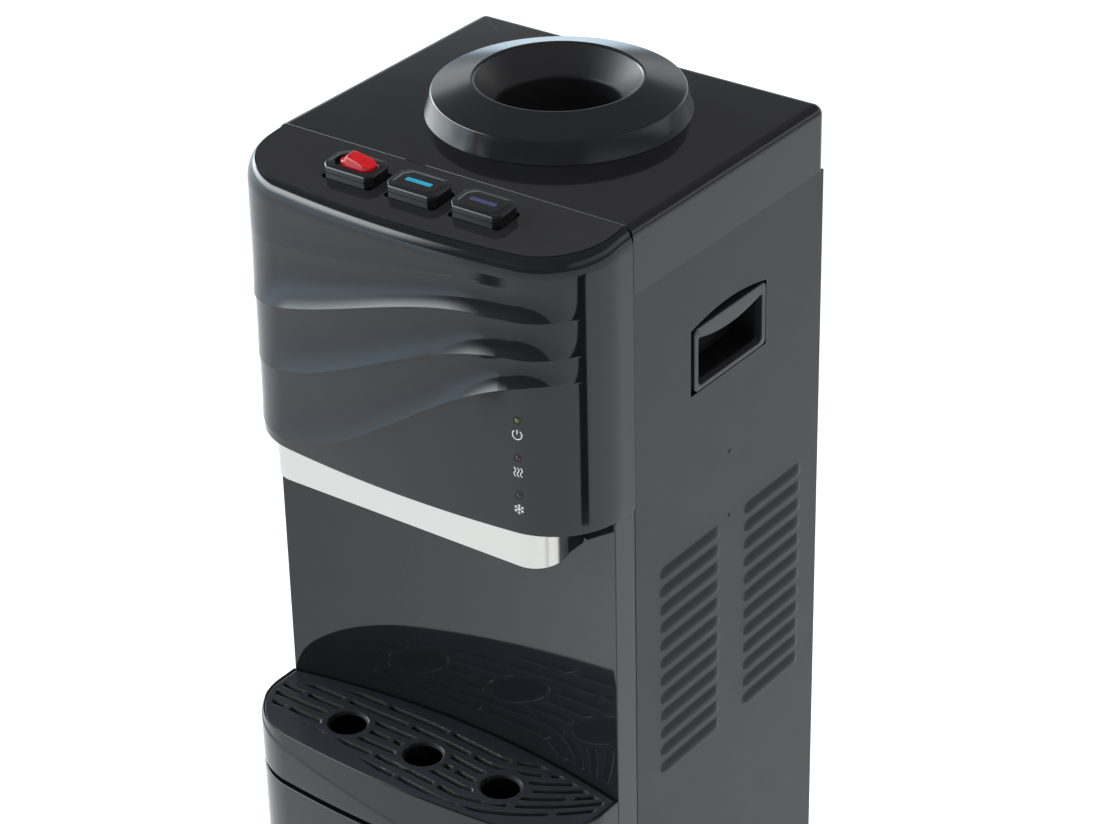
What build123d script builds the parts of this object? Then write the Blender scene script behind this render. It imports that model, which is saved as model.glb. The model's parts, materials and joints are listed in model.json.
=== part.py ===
from build123d import *
import os
from math import asin, cos, pi, radians, sin, sqrt, tan

# Floor-standing bottled water cooler with three push-button taps.
# Millimetres, +Z up, front towards -Y. Everything is drawn with Y = 0 at the seam between
# the lid and the head, and moved on export so that the origin lies under the middle of the box.

# Overall
body_width = 310.0
lid_top = 950.0
lid_depth = 244.0
lid_skirt = 52.0
edge_radius = 11.0
moulded_wall = 2.5
steel_sheet = 0.8
panel_step = 0.8
seam_gap = 0.4
moving_gap = 0.4
foot_height = 18.0
foot_radius = 16.0

# Head with the wave front and the sloping control deck
head_reach = 79.0
head_height = 220.0
deck_slope = 5.0
deck_border = 6.5
head_roll = 8.0
deck_thickness = 2.5
deck_ledge = 4.0
front_corner = 58.0
front_bulge = 900.0
wave_span = 240.0
wave_root = 1.5
wave_curl = 2.2
wave_steps = 6
# Slope of each band against the upright where it reaches its lower crest, in degrees
wave_tilts = (24.0, 17.0, 16.0)
# Each crest of the wave: depth below the lid at the left, at the right, and its middle along the front
wave_crests = ((55.0, 28.0, -17.0), (104.0, 51.0, -28.0), (154.0, 79.0, -10.0), (207.0, 99.0, 15.0))
wave_stations = 22
wave_left_end = -172.0
wave_left_full = -100.0
wave_right_full = 108.0
wave_right_end = 157.0

# Indicator lamps in the head
lamp_along = 107.8
lamp_top_drop = 129.5
lamp_pitch = 29.6
lamp_radius = 2.5
lamp_recess = 0.6
lamp_length = 9.5
board_width = 18.0
board_height = 100.0
board_thickness = 1.6
board_post_radius = 3.0

# Push buttons, child lock, push rods and taps
button_pitch = 55.5
button_y = -34.5
button_width = 44.0
button_depth = 26.0
button_rise = 9.5
button_skirt = 12.0
button_corner = 3.0
button_chamfer = 1.2
button_top = 2.5
button_travel = 4.0
bar_length = 22.0
bar_depth = 4.0
bar_sink = 0.8
lock_slot_length = 34.0
lock_slot_depth = 15.0
lock_slot_sink = 3.6
lock_floor = 2.4
lock_length = 29.0
lock_hump = 6.0
lock_low = 1.2
rod_radius = 3.0
rod_boss_radius = 5.0
rod_boss_drop = 15.0
rod_collar_radius = 7.5
rod_collar_thickness = 3.0
spring_wire = 0.6
spring_radius = 5.6
spring_length = 30.0
spring_turns = 6
tap_x_pitch = 72.7
tap_y = -55.0
tap_chamber_radius = 11.0
tap_chamber_height = 66.0
tap_bore_gap = 0.3
tap_block_height = 23.0
tap_nozzle_radius = 9.0
tap_nozzle_bore = 5.0
tap_nozzle_reach = 2.5
tap_inlet_radius = 4.5
tap_inlet_length = 16.0
tap_inlet_height = 46.0

# Tap housing below the head, and its bright trim
housing_width = 250.0
housing_front = 70.0
housing_back = 19.0
housing_drop = 28.5
housing_corner = 20.0
housing_floor = 3.0
housing_plate_lift = 1.0
trim_thickness = 1.2
trim_wrap = 30.0

# Alcove and drip tray
panel_edge_y = -24.0
panel_hollow = 18.0
panel_thickness = 3.0
tray_drop = 458.0
tray_height = 42.0
tray_wall = 3.0
tray_rim = 2.4
grille_thickness = 3.0
cup_ring_radius = 16.0
cup_ring_y = -58.5
cup_ring_margin = 5.0
slot_rows = 6
slot_stations = 10
slot_first_y = -29.0
slot_pitch = 11.2
slot_width = 4.2
slot_edge = 8.0
slot_ripple = 5.0
slot_wave = 150.0
slot_wave_start = -105.0
slot_sweep_start = 62.0
slot_sweep_radius = 130.0
slot_bridge = 5.0
slot_bridge_pitch = 62.0

# Lower front, cabinet door and plinth
base_reach = 106.0
plinth_top = 60.0
plinth_wall = 3.0
frame_front = 68.0
frame_column = 15.0
frame_beam = 12.0
shelf_thickness = 4.0
shelf_inset = 5.0
door_gap = 0.6
door_back = 70.0
door_wall = 3.0
door_liner_thickness = 2.0
hinge_inset = 16.0
hinge_y = -79.0
hinge_pin_radius = 1.5
hinge_pin_gap = 0.06
hinge_pin_depth = 14.0
knuckle_radius = 8.6
finger_notch_height = 90.0
finger_notch_depth = 13.0
finger_notch_width = 14.0
finger_notch_top = 400.0
liner_wall = 2.0
liner_back = 88.0
catch_size = 12.0
catch_length = 40.0

# Side panels with louvres and hand holds
louvre_count = 12
louvre_pitch = 15.5
louvre_length = 77.0
louvre_first_drop = 291.0
louvre_group_y = (70.0, 180.5)
louvre_radius = 14.0
louvre_rise = 3.2
louvre_cut = 2.0
handle_y = 121.0
handle_drop = 137.0
handle_width = 92.0
handle_height = 51.0
handle_border = 7.0
handle_rim = 2.0
handle_wall = 2.0
handle_depth = 30.0
handle_corner = 5.0
flange = 15.0

# Tank shelf and its screws, divider shelf
tank_shelf_drop = 300.0
tank_shelf_side = 84.0
tank_shelf_front = 30.0
tank_shelf_back = 222.0
tank_screw_y = 121.7
tank_screw_drops = (232.0, 286.5)
screw_radius = 1.6
screw_gap = 0.1
screw_head = 2.8
screw_head_height = 1.2
screw_length = 8.0
divider_drop = 472.0

# Bottle collar
collar_y = 129.0
collar_base_radius = 98.0
collar_rim_radius = 92.8
collar_rim_height = 17.0
collar_lip_radius = 61.4
collar_lip_height = 26.5
collar_throat_radius = 45.5
collar_throat_height = 5.0
collar_round = 4.0

# Cold tank, its foam and coil, hot tank and heater
cold_radius = 75.0
cold_height = 230.0
tank_sheet = 0.8
foam_wall = 16.0
foam_floor = 24.0
coil_tube = 3.0
coil_turns = 7
coil_pitch = 12.0
coil_gap = 0.5
coil_start = 40.0
tank_cover_thickness = 6.0
hot_x = 62.0
hot_y = 150.0
hot_radius = 44.0
hot_height = 120.0
hot_leg = 12.0
hot_leg_circle = 31.0
jacket_wall = 12.0
heater_height = 36.0
heater_wall = 3.0
tube_radius = 4.5
tube_bend = 14.0
feed_x = -30.0

# Refrigeration set at the back
compressor_y = 166.0
compressor_radius = 62.0
compressor_height = 150.0
compressor_dome = 40.0
compressor_foot = 150.0
compressor_plate = 3.0
grommet_height = 16.0
grommet_radius = 9.0
condenser_width = 250.0
condenser_bottom = 470.0
condenser_passes = 12
condenser_pass_pitch = 32.0
condenser_tube = 2.4
condenser_offset = 12.0
wire_radius = 0.8
wire_pitch = 12.5
wire_gap = 0.1
tab_width = 16.0
line_gap = 0.8
line_bend = 12.0
line_drop = 30.0
line_spread = 14.0

# Rear switches, drain and cord gland
switch_x = -92.0
switch_z = 330.0
switch_pitch = 34.0
rocker_width = 14.0
rocker_height = 24.0
rocker_depth = 9.0
rocker_proud = 2.0
switch_frame_width = 76.0
switch_frame_height = 40.0
switch_frame_thickness = 3.0
switch_frame_border = 4.0
switch_body_depth = 20.0
gland_x = 96.0
gland_z = 110.0
gland_radius = 11.0
gland_bore = 4.0
gland_length = 14.0
drain_x = 92.0
drain_z = 410.0
drain_radius = 8.0
drain_length = 14.0
drain_cap_radius = 11.0
drain_cap_length = 10.0

# Levels and places that follow from the sizes above
half = body_width / 2
panel_x = half - panel_step
hinge_x = hinge_inset - half
lid_bottom = lid_top - lid_skirt
head_bottom = lid_top - head_height
tray_top = lid_top - tray_drop
tray_bottom = tray_top - tray_height
shelf_bottom = tray_bottom - shelf_thickness
door_top = shelf_bottom - door_gap
door_bottom = plinth_top + door_gap
rear_y = lid_depth - steel_sheet
condenser_back = rear_y + condenser_offset + condenser_tube + wire_gap + 2 * wire_radius
drain_back = rear_y + drain_length + drain_cap_length / 2
shift_y = (base_reach - max(condenser_back, drain_back)) / 2
tall = 2 * lid_top
deck_tan = tan(radians(deck_slope))
panel_radius = (half ** 2 + panel_hollow ** 2) / (2 * panel_hollow)
panel_centre_y = panel_edge_y + panel_hollow - panel_radius
tank_shelf_z = lid_top - tank_shelf_drop
divider_z = lid_top - divider_drop
foam_bottom = tank_shelf_z + 2 * steel_sheet
tank_bottom = foam_bottom + foam_floor
tank_top = tank_bottom + cold_height
throat_outer = collar_throat_radius + moulded_wall
throat_depth = lid_top - tank_top
foot_z = foot_height + 2 * steel_sheet + grommet_height

nodes = {}


def block(x0, x1, y0, y1, z0, z1):
    """Box between two corners, given in any order."""
    middle = Pos((x0 + x1) / 2, (y0 + y1) / 2, (z0 + z1) / 2)
    return middle * Box(abs(x1 - x0), abs(y1 - y0), abs(z1 - z0))


def upright(x, y, z0, z1, radius):
    """Cylinder along Z between two levels."""
    return Pos(x, y, (z0 + z1) / 2) * Cylinder(radius, z1 - z0)


def along_y(x, z, y0, y1, radius):
    """Cylinder along Y between two planes."""
    return Pos(x, (y0 + y1) / 2, z) * Rot(90, 0, 0) * Cylinder(radius, y1 - y0)


def along_x(y, z, x0, x1, radius):
    """Cylinder along X between two planes."""
    return Pos((x0 + x1) / 2, y, z) * Rot(0, 90, 0) * Cylinder(radius, abs(x1 - x0))


def raised(face, z0, z1):
    """Plan face pulled up between two levels."""
    return extrude(Pos(0, 0, z0) * face, z1 - z0)


def front_plan(reach, inset=0.0):
    """Plan of the body in front of the seam: straight sides, round corners, gently bowed front."""
    blank = Pos(0, -(reach - inset) / 2) * Rectangle(body_width - 2 * inset, reach - inset)
    blank &= Pos(0, front_bulge - reach) * Circle(front_bulge - inset)
    corners = blank.vertices().sort_by(Axis.Y)[:2]
    return fillet(corners, front_corner - inset)


def front_station(along, reach):
    """Point and outward direction on the bowed front, a given length along it from the middle."""
    centre_x = half - front_corner
    bow_angle = asin(centre_x / (front_bulge - front_corner))
    bow_length = front_bulge * bow_angle
    side = 1 if along >= 0 else -1
    if abs(along) <= bow_length:
        angle = abs(along) / front_bulge
        x, y = front_bulge * sin(angle), front_bulge - reach - front_bulge * cos(angle)
    else:
        angle = bow_angle + (abs(along) - bow_length) / front_corner
        centre_y = front_bulge - reach - (front_bulge - front_corner) * cos(bow_angle)
        x, y = centre_x + front_corner * sin(angle), centre_y - front_corner * cos(angle)
    return side * x, y, side * sin(angle), -cos(angle)


def above_deck(offset):
    """Everything above the sloping deck plane, moved up by an offset."""
    return Pos(0, 0, lid_top + offset) * Rot(deck_slope, 0, 0) * Pos(0, 0, tall / 2) * Box(tall, tall, tall)


def deck_z(y):
    """Level of the deck plane at a place behind the front."""
    return lid_top + y * deck_tan


def keep(name, *solids):
    """One node: a single piece, or a group of like pieces."""
    nodes[name] = solids[0] if len(solids) == 1 else Compound(children=list(solids))


def swept_tube(points, radius, bend):
    """Round tube along straight runs joined by tangent arcs."""
    path = FilletPolyline(*points, radius=bend)
    return sweep(Plane(path @ 0, z_dir=path % 0) * Circle(radius), path=path)


# Lid: a moulded cap with a skirt, open below, with a hole for the throat of the bottle collar
lid = block(-half, half, 0, lid_depth, lid_bottom, lid_top)
lid_edges = [e for e in lid.edges() if e.center().Z > lid_top - 1 and e.center().Y > 1]
lid = fillet(lid_edges, edge_radius)
lid -= block(moulded_wall - half, half - moulded_wall, moulded_wall, lid_depth - moulded_wall,
             lid_bottom, lid_top - moulded_wall)
lid -= upright(0, collar_y, lid_bottom, tall, throat_outer + moving_gap)
lid -= block(2 * moulded_wall - half, half - 2 * moulded_wall, -1, moulded_wall + 1,
             lid_bottom - 1, lid_top - edge_radius)
keep("top_lid", lid)

# Bottle collar: one turned shell, a skirt, a conical top and a funnel that ends in the throat
with BuildPart() as collar:
    with BuildSketch(Plane.XZ):
        with BuildLine():
            Polyline((throat_outer, -throat_depth), (collar_throat_radius, -throat_depth),
                     (collar_throat_radius, collar_throat_height), (collar_lip_radius, collar_lip_height),
                     (collar_rim_radius, collar_rim_height), (collar_base_radius, 0),
                     (collar_base_radius - moulded_wall, 0),
                     (collar_rim_radius - moulded_wall, collar_rim_height - moulded_wall),
                     (collar_lip_radius, collar_lip_height - moulded_wall),
                     (throat_outer, collar_throat_height - moulded_wall), close=True)
        make_face()
        rim = [v for v in vertices() if abs(v.X - collar_rim_radius) < 0.1]
        lip = [v for v in vertices() if abs(v.Z - collar_lip_height) < 0.1]
        fillet(rim + lip, collar_round)
    revolve(axis=Axis.Z)
keep("bottle_collar", Pos(0, collar_y, lid_top) * collar.part)

# Head: bowed front with rounded top edge, deck recess, wave bands and lamp holes
head = raised(front_plan(head_reach), head_bottom, lid_top) - above_deck(0)
head_edges = [e for e in head.edges()
              if e.center().Z > lid_top - 2 * edge_radius and e.center().Y < -1]
head = fillet(head_edges, head_roll)
ledge_plan = front_plan(head_reach, deck_border + deck_ledge)
head -= raised(front_plan(head_reach, moulded_wall), head_bottom, lid_top) - above_deck(-2 * deck_thickness)
head -= raised(front_plan(head_reach, deck_border), head_bottom, lid_top) & above_deck(-deck_thickness)
head -= raised(ledge_plan, head_bottom, lid_top)


def crest_z(crest, along):
    """Level of a wave crest: an S-shaped climb from the left depth to the right depth."""
    left, right, middle = crest
    t = min(max((along - middle) / wave_span + 0.5, 0), 1)
    return lid_top - left + (left - right) * (3 * t ** 2 - 2 * t ** 3)


def wave_fade(along):
    """Share of its full height that a crest has: all of it over the middle, nothing round both corners."""
    left = (along - wave_left_end) / (wave_left_full - wave_left_end)
    right = (wave_right_end - along) / (wave_right_end - wave_right_full)
    t = min(max(min(left, right), 0.02), 1)
    return sin(t * pi / 2) ** 2


def wave_section(upper, lower, tilt, along):
    """Cross section of one band: flush below the upper crest, curling out to the lower one."""
    x, y, out_x, out_y = front_station(along, head_reach)
    z0, z1 = crest_z(upper, along), crest_z(lower, along)
    height = tan(radians(tilt)) * wave_fade(along) * (z0 - z1) / wave_curl
    shares = [i / wave_steps for i in range(wave_steps + 1)]
    shape = [(z0, -wave_root)]
    shape += [(z0 + (z1 - z0) * v, height * v ** wave_curl) for v in shares]
    shape += [(z1, -wave_root)]
    return make_face(Polyline(*[(x + out_x * h, y + out_y * h, z) for z, h in shape], close=True))


wave_step = (wave_right_end - wave_left_end) / (wave_stations - 1)
for upper_crest, lower_crest, band_tilt in zip(wave_crests, wave_crests[1:], wave_tilts):
    sections = [wave_section(upper_crest, lower_crest, band_tilt, wave_left_end + i * wave_step)
                for i in range(wave_stations)]
    head += loft(sections, ruled=True)

lamp_levels = [lid_top - lamp_top_drop - i * lamp_pitch for i in range(3)]
lamp_x, lamp_face_y = front_station(lamp_along, head_reach)[:2]
board_y = lamp_face_y + lamp_recess + lamp_length
board_middle = lamp_levels[1]
for lamp_z in lamp_levels:
    head -= along_y(lamp_x, lamp_z, -head_reach, board_y, lamp_radius + seam_gap / 4)
post_reach = board_height / 2 - 2 * board_post_radius
for post_z in (board_middle - post_reach, board_middle + post_reach):
    head += along_y(lamp_x, post_z, lamp_face_y + moulded_wall / 2, board_y, board_post_radius)
keep("head_fascia", head)

lenses = []
for lamp_z in lamp_levels:
    lens = along_y(lamp_x, lamp_z, lamp_face_y + lamp_recess, board_y, lamp_radius)
    lenses.append(fillet(lens.edges().sort_by(Axis.Y)[0], lamp_radius / 2))
keep("indicator_lamps", *lenses)
keep("indicator_board", block(lamp_x - board_width / 2, lamp_x + board_width / 2, board_y,
                              board_y + board_thickness, board_middle - board_height / 2,
                              board_middle + board_height / 2))

# Control deck: an inset plate with three button windows
deck = raised(front_plan(head_reach, deck_border + seam_gap), head_bottom, lid_top) - above_deck(0)
deck = (deck & above_deck(-deck_thickness)) - block(-half, half, -seam_gap, 1, 0, tall)
button_places = {"hot": -button_pitch, "cold": 0.0, "normal": button_pitch}
for button_x in button_places.values():
    window = RectangleRounded(button_width + 2 * moving_gap, button_depth + 2 * moving_gap,
                              button_corner + moving_gap)
    deck -= raised(Pos(button_x, button_y) * window, head_bottom, tall)
keep("control_deck", deck)


def button_body(x, top_plate):
    """Hollow cap with a top parallel to the deck and a boss for its push rod."""
    plan = Pos(x, button_y) * RectangleRounded(button_width, button_depth, button_corner)
    inner = Pos(x, button_y) * RectangleRounded(button_width - 2 * moulded_wall,
                                                button_depth - 2 * moulded_wall, button_corner / 2)
    low = deck_z(button_y) - button_skirt
    cap = raised(plan, low, tall) - above_deck(button_rise)
    cap = chamfer(cap.faces().sort_by(Axis.Z)[-1].edges(), button_chamfer)
    cap -= raised(inner, low, tall) - above_deck(button_rise - top_plate)
    boss = upright(x, button_y, rod_top, tall, rod_boss_radius) - above_deck(button_rise - top_plate)
    return cap + boss


rod_top = deck_z(button_y) + button_rise - rod_boss_drop
lock_plate = lock_slot_sink + lock_floor
hot_button_x = button_places["hot"]
lock_slot_plan = Pos(hot_button_x, button_y) * SlotOverall(lock_slot_length, lock_slot_depth)
lock_slot = raised(lock_slot_plan, head_bottom, tall)
lock_recess = lock_slot & above_deck(button_rise - lock_slot_sink)
keep("hot_button", button_body(hot_button_x, lock_plate) - lock_recess)

# Child lock: a saddle that rests at the right end of its slot and slides to the left to free the button
lock_x = hot_button_x + (lock_slot_length - lock_length) / 2 - moving_gap
lock_depth = lock_slot_depth - 2 * moving_gap
lock_plan = Pos(lock_x, button_y) * SlotOverall(lock_length, lock_depth)
lock_stock = raised(lock_plan, head_bottom, tall) & above_deck(button_rise - lock_slot_sink + moving_gap)
hump_face = Polyline((lock_x - lock_length / 2, 0), (lock_x - lock_length / 3, 0),
                     (lock_x - lock_length / 4, lock_hump), (lock_x - lock_length / 12, lock_hump),
                     (lock_x + lock_length / 2, lock_low), (lock_x + lock_length / 2, -lock_slot_sink),
                     (lock_x - lock_length / 2, -lock_slot_sink), close=True)
lock_side = extrude(Plane.XZ.offset(-button_depth) * make_face(hump_face), 2 * button_depth)
lock_side = Pos(0, button_y, deck_z(button_y) + button_rise) * Rot(deck_slope, 0, 0) * lock_side
keep("child_lock_slide", lock_stock & lock_side)

for button_name in ("cold", "normal"):
    bar_x = button_places[button_name]
    bar_plan = Pos(bar_x, button_y) * RectangleRounded(bar_length, bar_depth, bar_depth / 4)
    bar = (raised(bar_plan, head_bottom, tall) & above_deck(button_rise - bar_sink)) - above_deck(button_rise)
    keep(button_name + "_button", button_body(bar_x, button_top) - bar)
    keep(button_name + "_button_bar", bar)

# Tap housing: a plate that closes the head from below, with a box for the three taps
housing_bottom = head_bottom - housing_drop
housing_deck = head_bottom + housing_plate_lift
plate_plan = front_plan(head_reach, moulded_wall + seam_gap)


def housing_plan(inset, back=housing_back):
    """Plan of the tap housing with round front corners."""
    depth = housing_front - back - inset
    plan = Pos(0, -back - depth / 2) * Rectangle(housing_width - 2 * inset, depth)
    return fillet(plan.vertices().sort_by(Axis.Y)[:2], housing_corner - inset)


housing = raised(plate_plan, housing_deck, housing_deck + moulded_wall)
housing += raised(housing_plan(trim_thickness), housing_bottom, housing_deck + moulded_wall)
housing -= raised(housing_plan(trim_thickness + moulded_wall, housing_back + moulded_wall),
                  housing_bottom + housing_floor, tall)
tap_places = {"hot": -tap_x_pitch, "cold": 0.0, "normal": tap_x_pitch}
for tap_x in tap_places.values():
    housing -= upright(tap_x, tap_y, 0, tall, tap_nozzle_radius + seam_gap)
keep("tap_housing", housing)
trim = raised(housing_plan(0), housing_bottom, head_bottom) - raised(
    housing_plan(trim_thickness), housing_bottom, head_bottom)
trim -= block(-half, half, trim_wrap - housing_front, 0, 0, tall)
keep("bright_trim", trim)

# Taps, push rods and return springs: one set for each button
springs = []
tap_floor = housing_bottom + housing_floor
tap_top = tap_floor + tap_chamber_height
collar_bottom = tap_top + spring_length
for tap_name, tap_x in tap_places.items():
    valve_x = button_places[tap_name]
    tap = upright(valve_x, button_y, tap_floor, tap_top, tap_chamber_radius)
    tap += block(min(valve_x, tap_x) - tap_nozzle_radius, max(valve_x, tap_x) + tap_nozzle_radius,
                 tap_y - tap_nozzle_radius, button_y, tap_floor, tap_floor + tap_block_height)
    tap += upright(tap_x, tap_y, housing_bottom - tap_nozzle_reach, tap_floor, tap_nozzle_radius)
    tap += along_y(valve_x, tap_floor + tap_inlet_height, button_y,
                   button_y + tap_chamber_radius + tap_inlet_length, tap_inlet_radius)
    tap -= upright(tap_x, tap_y, 0, tap_floor + tap_block_height / 2, tap_nozzle_bore)
    tap -= upright(valve_x, button_y, tap_floor + tap_block_height / 2, tall, rod_radius + tap_bore_gap)
    keep(tap_name + "_tap", tap)
    rod_bottom = tap_floor + tap_block_height / 2 + 2 * button_travel
    rod = upright(valve_x, button_y, rod_bottom, rod_top, rod_radius)
    rod += upright(valve_x, button_y, collar_bottom, collar_bottom + rod_collar_thickness, rod_collar_radius)
    keep(tap_name + "_push_rod", rod)
    helix_height = spring_length - 2 * spring_wire - 2 * seam_gap
    helix = Helix(helix_height / spring_turns, helix_height, spring_radius)
    wire = sweep(Plane(helix @ 0, z_dir=helix % 0) * Circle(spring_wire), path=helix)
    springs.append(Pos(valve_x, button_y, tap_top + spring_wire + seam_gap) * wire)
keep("return_springs", *springs)

# Alcove panel: hollow front with side returns that meet the side panels
panel_plan = Pos(0, (panel_edge_y - seam_gap) / 2) * Rectangle(2 * panel_x, -panel_edge_y - seam_gap)
panel_plan -= Pos(0, panel_centre_y) * Circle(panel_radius)
back_plan = Pos(0, panel_edge_y / 2) * Rectangle(2 * panel_x - 2 * panel_thickness, -panel_edge_y + 1)
back_plan -= Pos(0, panel_centre_y) * Circle(panel_radius + panel_thickness)
keep("alcove_panel", raised(panel_plan - back_plan, tray_bottom, head_bottom - seam_gap))


def tray_plan(inset):
    """Plan of the drip tray: the bowed front, closed behind by the curve of the alcove panel."""
    disc = Pos(0, panel_centre_y) * Circle(panel_radius - moving_gap - inset)
    return front_plan(base_reach, inset) & disc


def slot_y(row, x):
    """Centre line of a row of drain slots: a travelling ripple that sweeps back at the right end."""
    ripple = slot_ripple * sin((x - slot_wave_start) * pi / slot_wave)
    sweep_back = max(x - slot_sweep_start, 0.0) ** 2 / (2 * slot_sweep_radius)
    return slot_first_y - row * slot_pitch - ripple + sweep_back


# Drip tray with a loose grille over it
tray = raised(tray_plan(0), tray_bottom, tray_top)
tray -= raised(tray_plan(tray_wall), tray_bottom + tray_wall, tray_top)
tray_ledge = raised(tray_plan(tray_rim), tray_top - grille_thickness, tray_top)
tray -= tray_ledge
keep("drip_tray", tray)

grille_bottom = tray_top - grille_thickness
grille = raised(tray_plan(tray_rim + moving_gap), grille_bottom, tray_top)
slot_zone = raised(tray_plan(slot_edge), grille_bottom, tray_top)
for cup_x in tap_places.values():
    grille -= upright(cup_x, cup_ring_y, grille_bottom, tray_top, cup_ring_radius)
    slot_zone -= upright(cup_x, cup_ring_y, grille_bottom, tray_top, cup_ring_radius + cup_ring_margin)
for row in range(slot_rows):
    row_xs = [half * i / slot_stations for i in range(-slot_stations, slot_stations + 1)]
    row_line = Spline(*[(x, slot_y(row, x)) for x in row_xs])
    row_cut = raised(trace(row_line, slot_width), grille_bottom, tray_top) & slot_zone
    for bridge in range(-2, 3):
        bridge_x = (bridge + (row % 2) / 2) * slot_bridge_pitch
        bridge_y = slot_y(row, bridge_x)
        row_cut -= block(bridge_x - slot_bridge / 2, bridge_x + slot_bridge / 2, bridge_y - slot_pitch / 2,
                         bridge_y + slot_pitch / 2, grille_bottom, tray_top)
    grille -= row_cut
keep("drip_grille", grille)

# Lower front frame: two columns, two beams and the shelf that carries the drip tray
column_blank = front_plan(base_reach, panel_step) & (Pos(0, -frame_front / 2) * Rectangle(tall, frame_front))
frame = raised(column_blank, plinth_top, tray_bottom)
frame_mouth_x = half - frame_column
mouth_bottom, mouth_top = plinth_top + frame_beam, tray_bottom - frame_beam
frame -= block(-frame_mouth_x, frame_mouth_x, -tall, tall, mouth_bottom, mouth_top)
frame += raised(front_plan(base_reach, shelf_inset), shelf_bottom, tray_bottom)
notch_bottom = finger_notch_top - finger_notch_height
frame -= block(half - finger_notch_width, half + 1, -frame_front, finger_notch_depth - frame_front,
               notch_bottom, finger_notch_top)
pin_hole = hinge_pin_radius + hinge_pin_gap
frame -= upright(hinge_x, hinge_y, 0, tall, pin_hole)
keep("lower_front_frame", frame)

plinth = raised(front_plan(base_reach, panel_step), foot_height, plinth_top)
plinth -= raised(front_plan(base_reach, panel_step + plinth_wall), foot_height, plinth_top - plinth_wall)
plinth -= upright(hinge_x, hinge_y, 0, tall, pin_hole)
keep("plinth", plinth)

# Cabinet door: a bowed shell with hinge knuckles, closed behind by a flat liner
door_cut = Pos(0, -door_back - tall / 2) * Rectangle(tall, tall)
knuckle = Pos(hinge_x, hinge_y) * Circle(knuckle_radius)
beside_hinge = Pos(hinge_x - tall / 2, hinge_y + tall / 2) * Rectangle(tall, tall)
door_plan = (front_plan(base_reach) & door_cut) - (beside_hinge - knuckle)
door_inner = front_plan(base_reach, door_wall) & door_cut
door_inner -= Pos(hinge_x + knuckle_radius - tall / 2, 0) * Rectangle(tall, tall)
door = raised(door_plan, door_bottom, door_top)
door -= raised(door_inner, door_bottom + door_wall, door_top - door_wall)
door -= upright(hinge_x, hinge_y, door_bottom, door_bottom + hinge_pin_depth, pin_hole)
door -= upright(hinge_x, hinge_y, door_top - hinge_pin_depth, door_top, pin_hole)
liner_x = half - front_corner / 2
liner_pocket = block(hinge_x + knuckle_radius, liner_x, -door_back - door_liner_thickness, -door_back,
                     door_bottom + door_wall, door_top - door_wall)
keep("door_shell", door - liner_pocket)
keep("door_liner", liner_pocket)
low_pin_top = door_bottom + hinge_pin_depth - door_gap
high_pin_bottom = door_top - hinge_pin_depth + door_gap
keep("door_hinge_pins", upright(hinge_x, hinge_y, plinth_top - plinth_wall, low_pin_top, hinge_pin_radius),
     upright(hinge_x, hinge_y, high_pin_bottom, tray_bottom, hinge_pin_radius))

# Storage liner behind the door, with the magnetic catch on its ceiling
liner_x0 = frame_mouth_x - seam_gap
storage = block(-liner_x0, liner_x0, -frame_front, liner_back, mouth_bottom + seam_gap, mouth_top - seam_gap)
storage -= block(liner_wall - liner_x0, liner_x0 - liner_wall, -frame_front, liner_back - liner_wall,
                 mouth_bottom + seam_gap + liner_wall, mouth_top - seam_gap - liner_wall)
keep("storage_liner", storage)
catch_top = mouth_top - seam_gap - liner_wall
catch_x = liner_x0 - liner_wall - catch_length
keep("door_catch", block(catch_x, catch_x + catch_length, -frame_front, catch_size - frame_front,
                         catch_top - catch_size, catch_top))

# Base pan on four rubber feet
pan_x = panel_x - steel_sheet
pan_top = foot_height + 2 * steel_sheet
pan = block(-pan_x, pan_x, 0, rear_y - steel_sheet, foot_height, pan_top)
pan_nose = front_plan(base_reach, panel_step + plinth_wall + seam_gap) & (
    Pos(0, -frame_front / 2) * Rectangle(tall, frame_front))
pan += raised(pan_nose, foot_height, pan_top)
for side in (-1, 1):
    pan += block(side * pan_x, side * (pan_x - steel_sheet), seam_gap, rear_y - steel_sheet,
                 foot_height, foot_height + flange)
keep("base_pan", pan)
feet = []
for foot_x in (-pan_x + 2 * foot_radius, pan_x - 2 * foot_radius):
    for foot_y in (-frame_front + 2 * foot_radius, rear_y - 2 * foot_radius):
        foot = upright(foot_x, foot_y, 0, foot_height, foot_radius)
        feet.append(chamfer(foot.edges().sort_by(Axis.Z)[0], foot_height / 9))
keep("rubber_feet", *feet)


def louvre(side, y, z):
    """Pressed hood, round ended, that stands out from the panel and is open along its lower edge."""
    centre_x = panel_x - louvre_radius + louvre_rise
    run = louvre_length / 2 - sqrt(louvre_radius ** 2 - (louvre_radius - louvre_rise) ** 2)
    parts = []
    for radius in (louvre_radius, louvre_radius - steel_sheet):
        pill = Pos(centre_x, 0, 0) * Rot(90, 0, 0) * Cylinder(radius, 2 * run)
        pill += Pos(centre_x, run, 0) * Sphere(radius)
        pill += Pos(centre_x, -run, 0) * Sphere(radius)
        parts.append(pill)
    outside = block(panel_x - steel_sheet, tall, -tall, tall, -louvre_cut, tall)
    mouth = block(panel_x - 2 * steel_sheet, tall, -tall, tall, -louvre_cut, tall)
    place = Pos(0, y, z) if side > 0 else Pos(0, y, z) * Rot(0, 0, 180)
    return place * ((parts[0] - parts[1]) & outside), place * (parts[1] & mouth)


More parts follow.
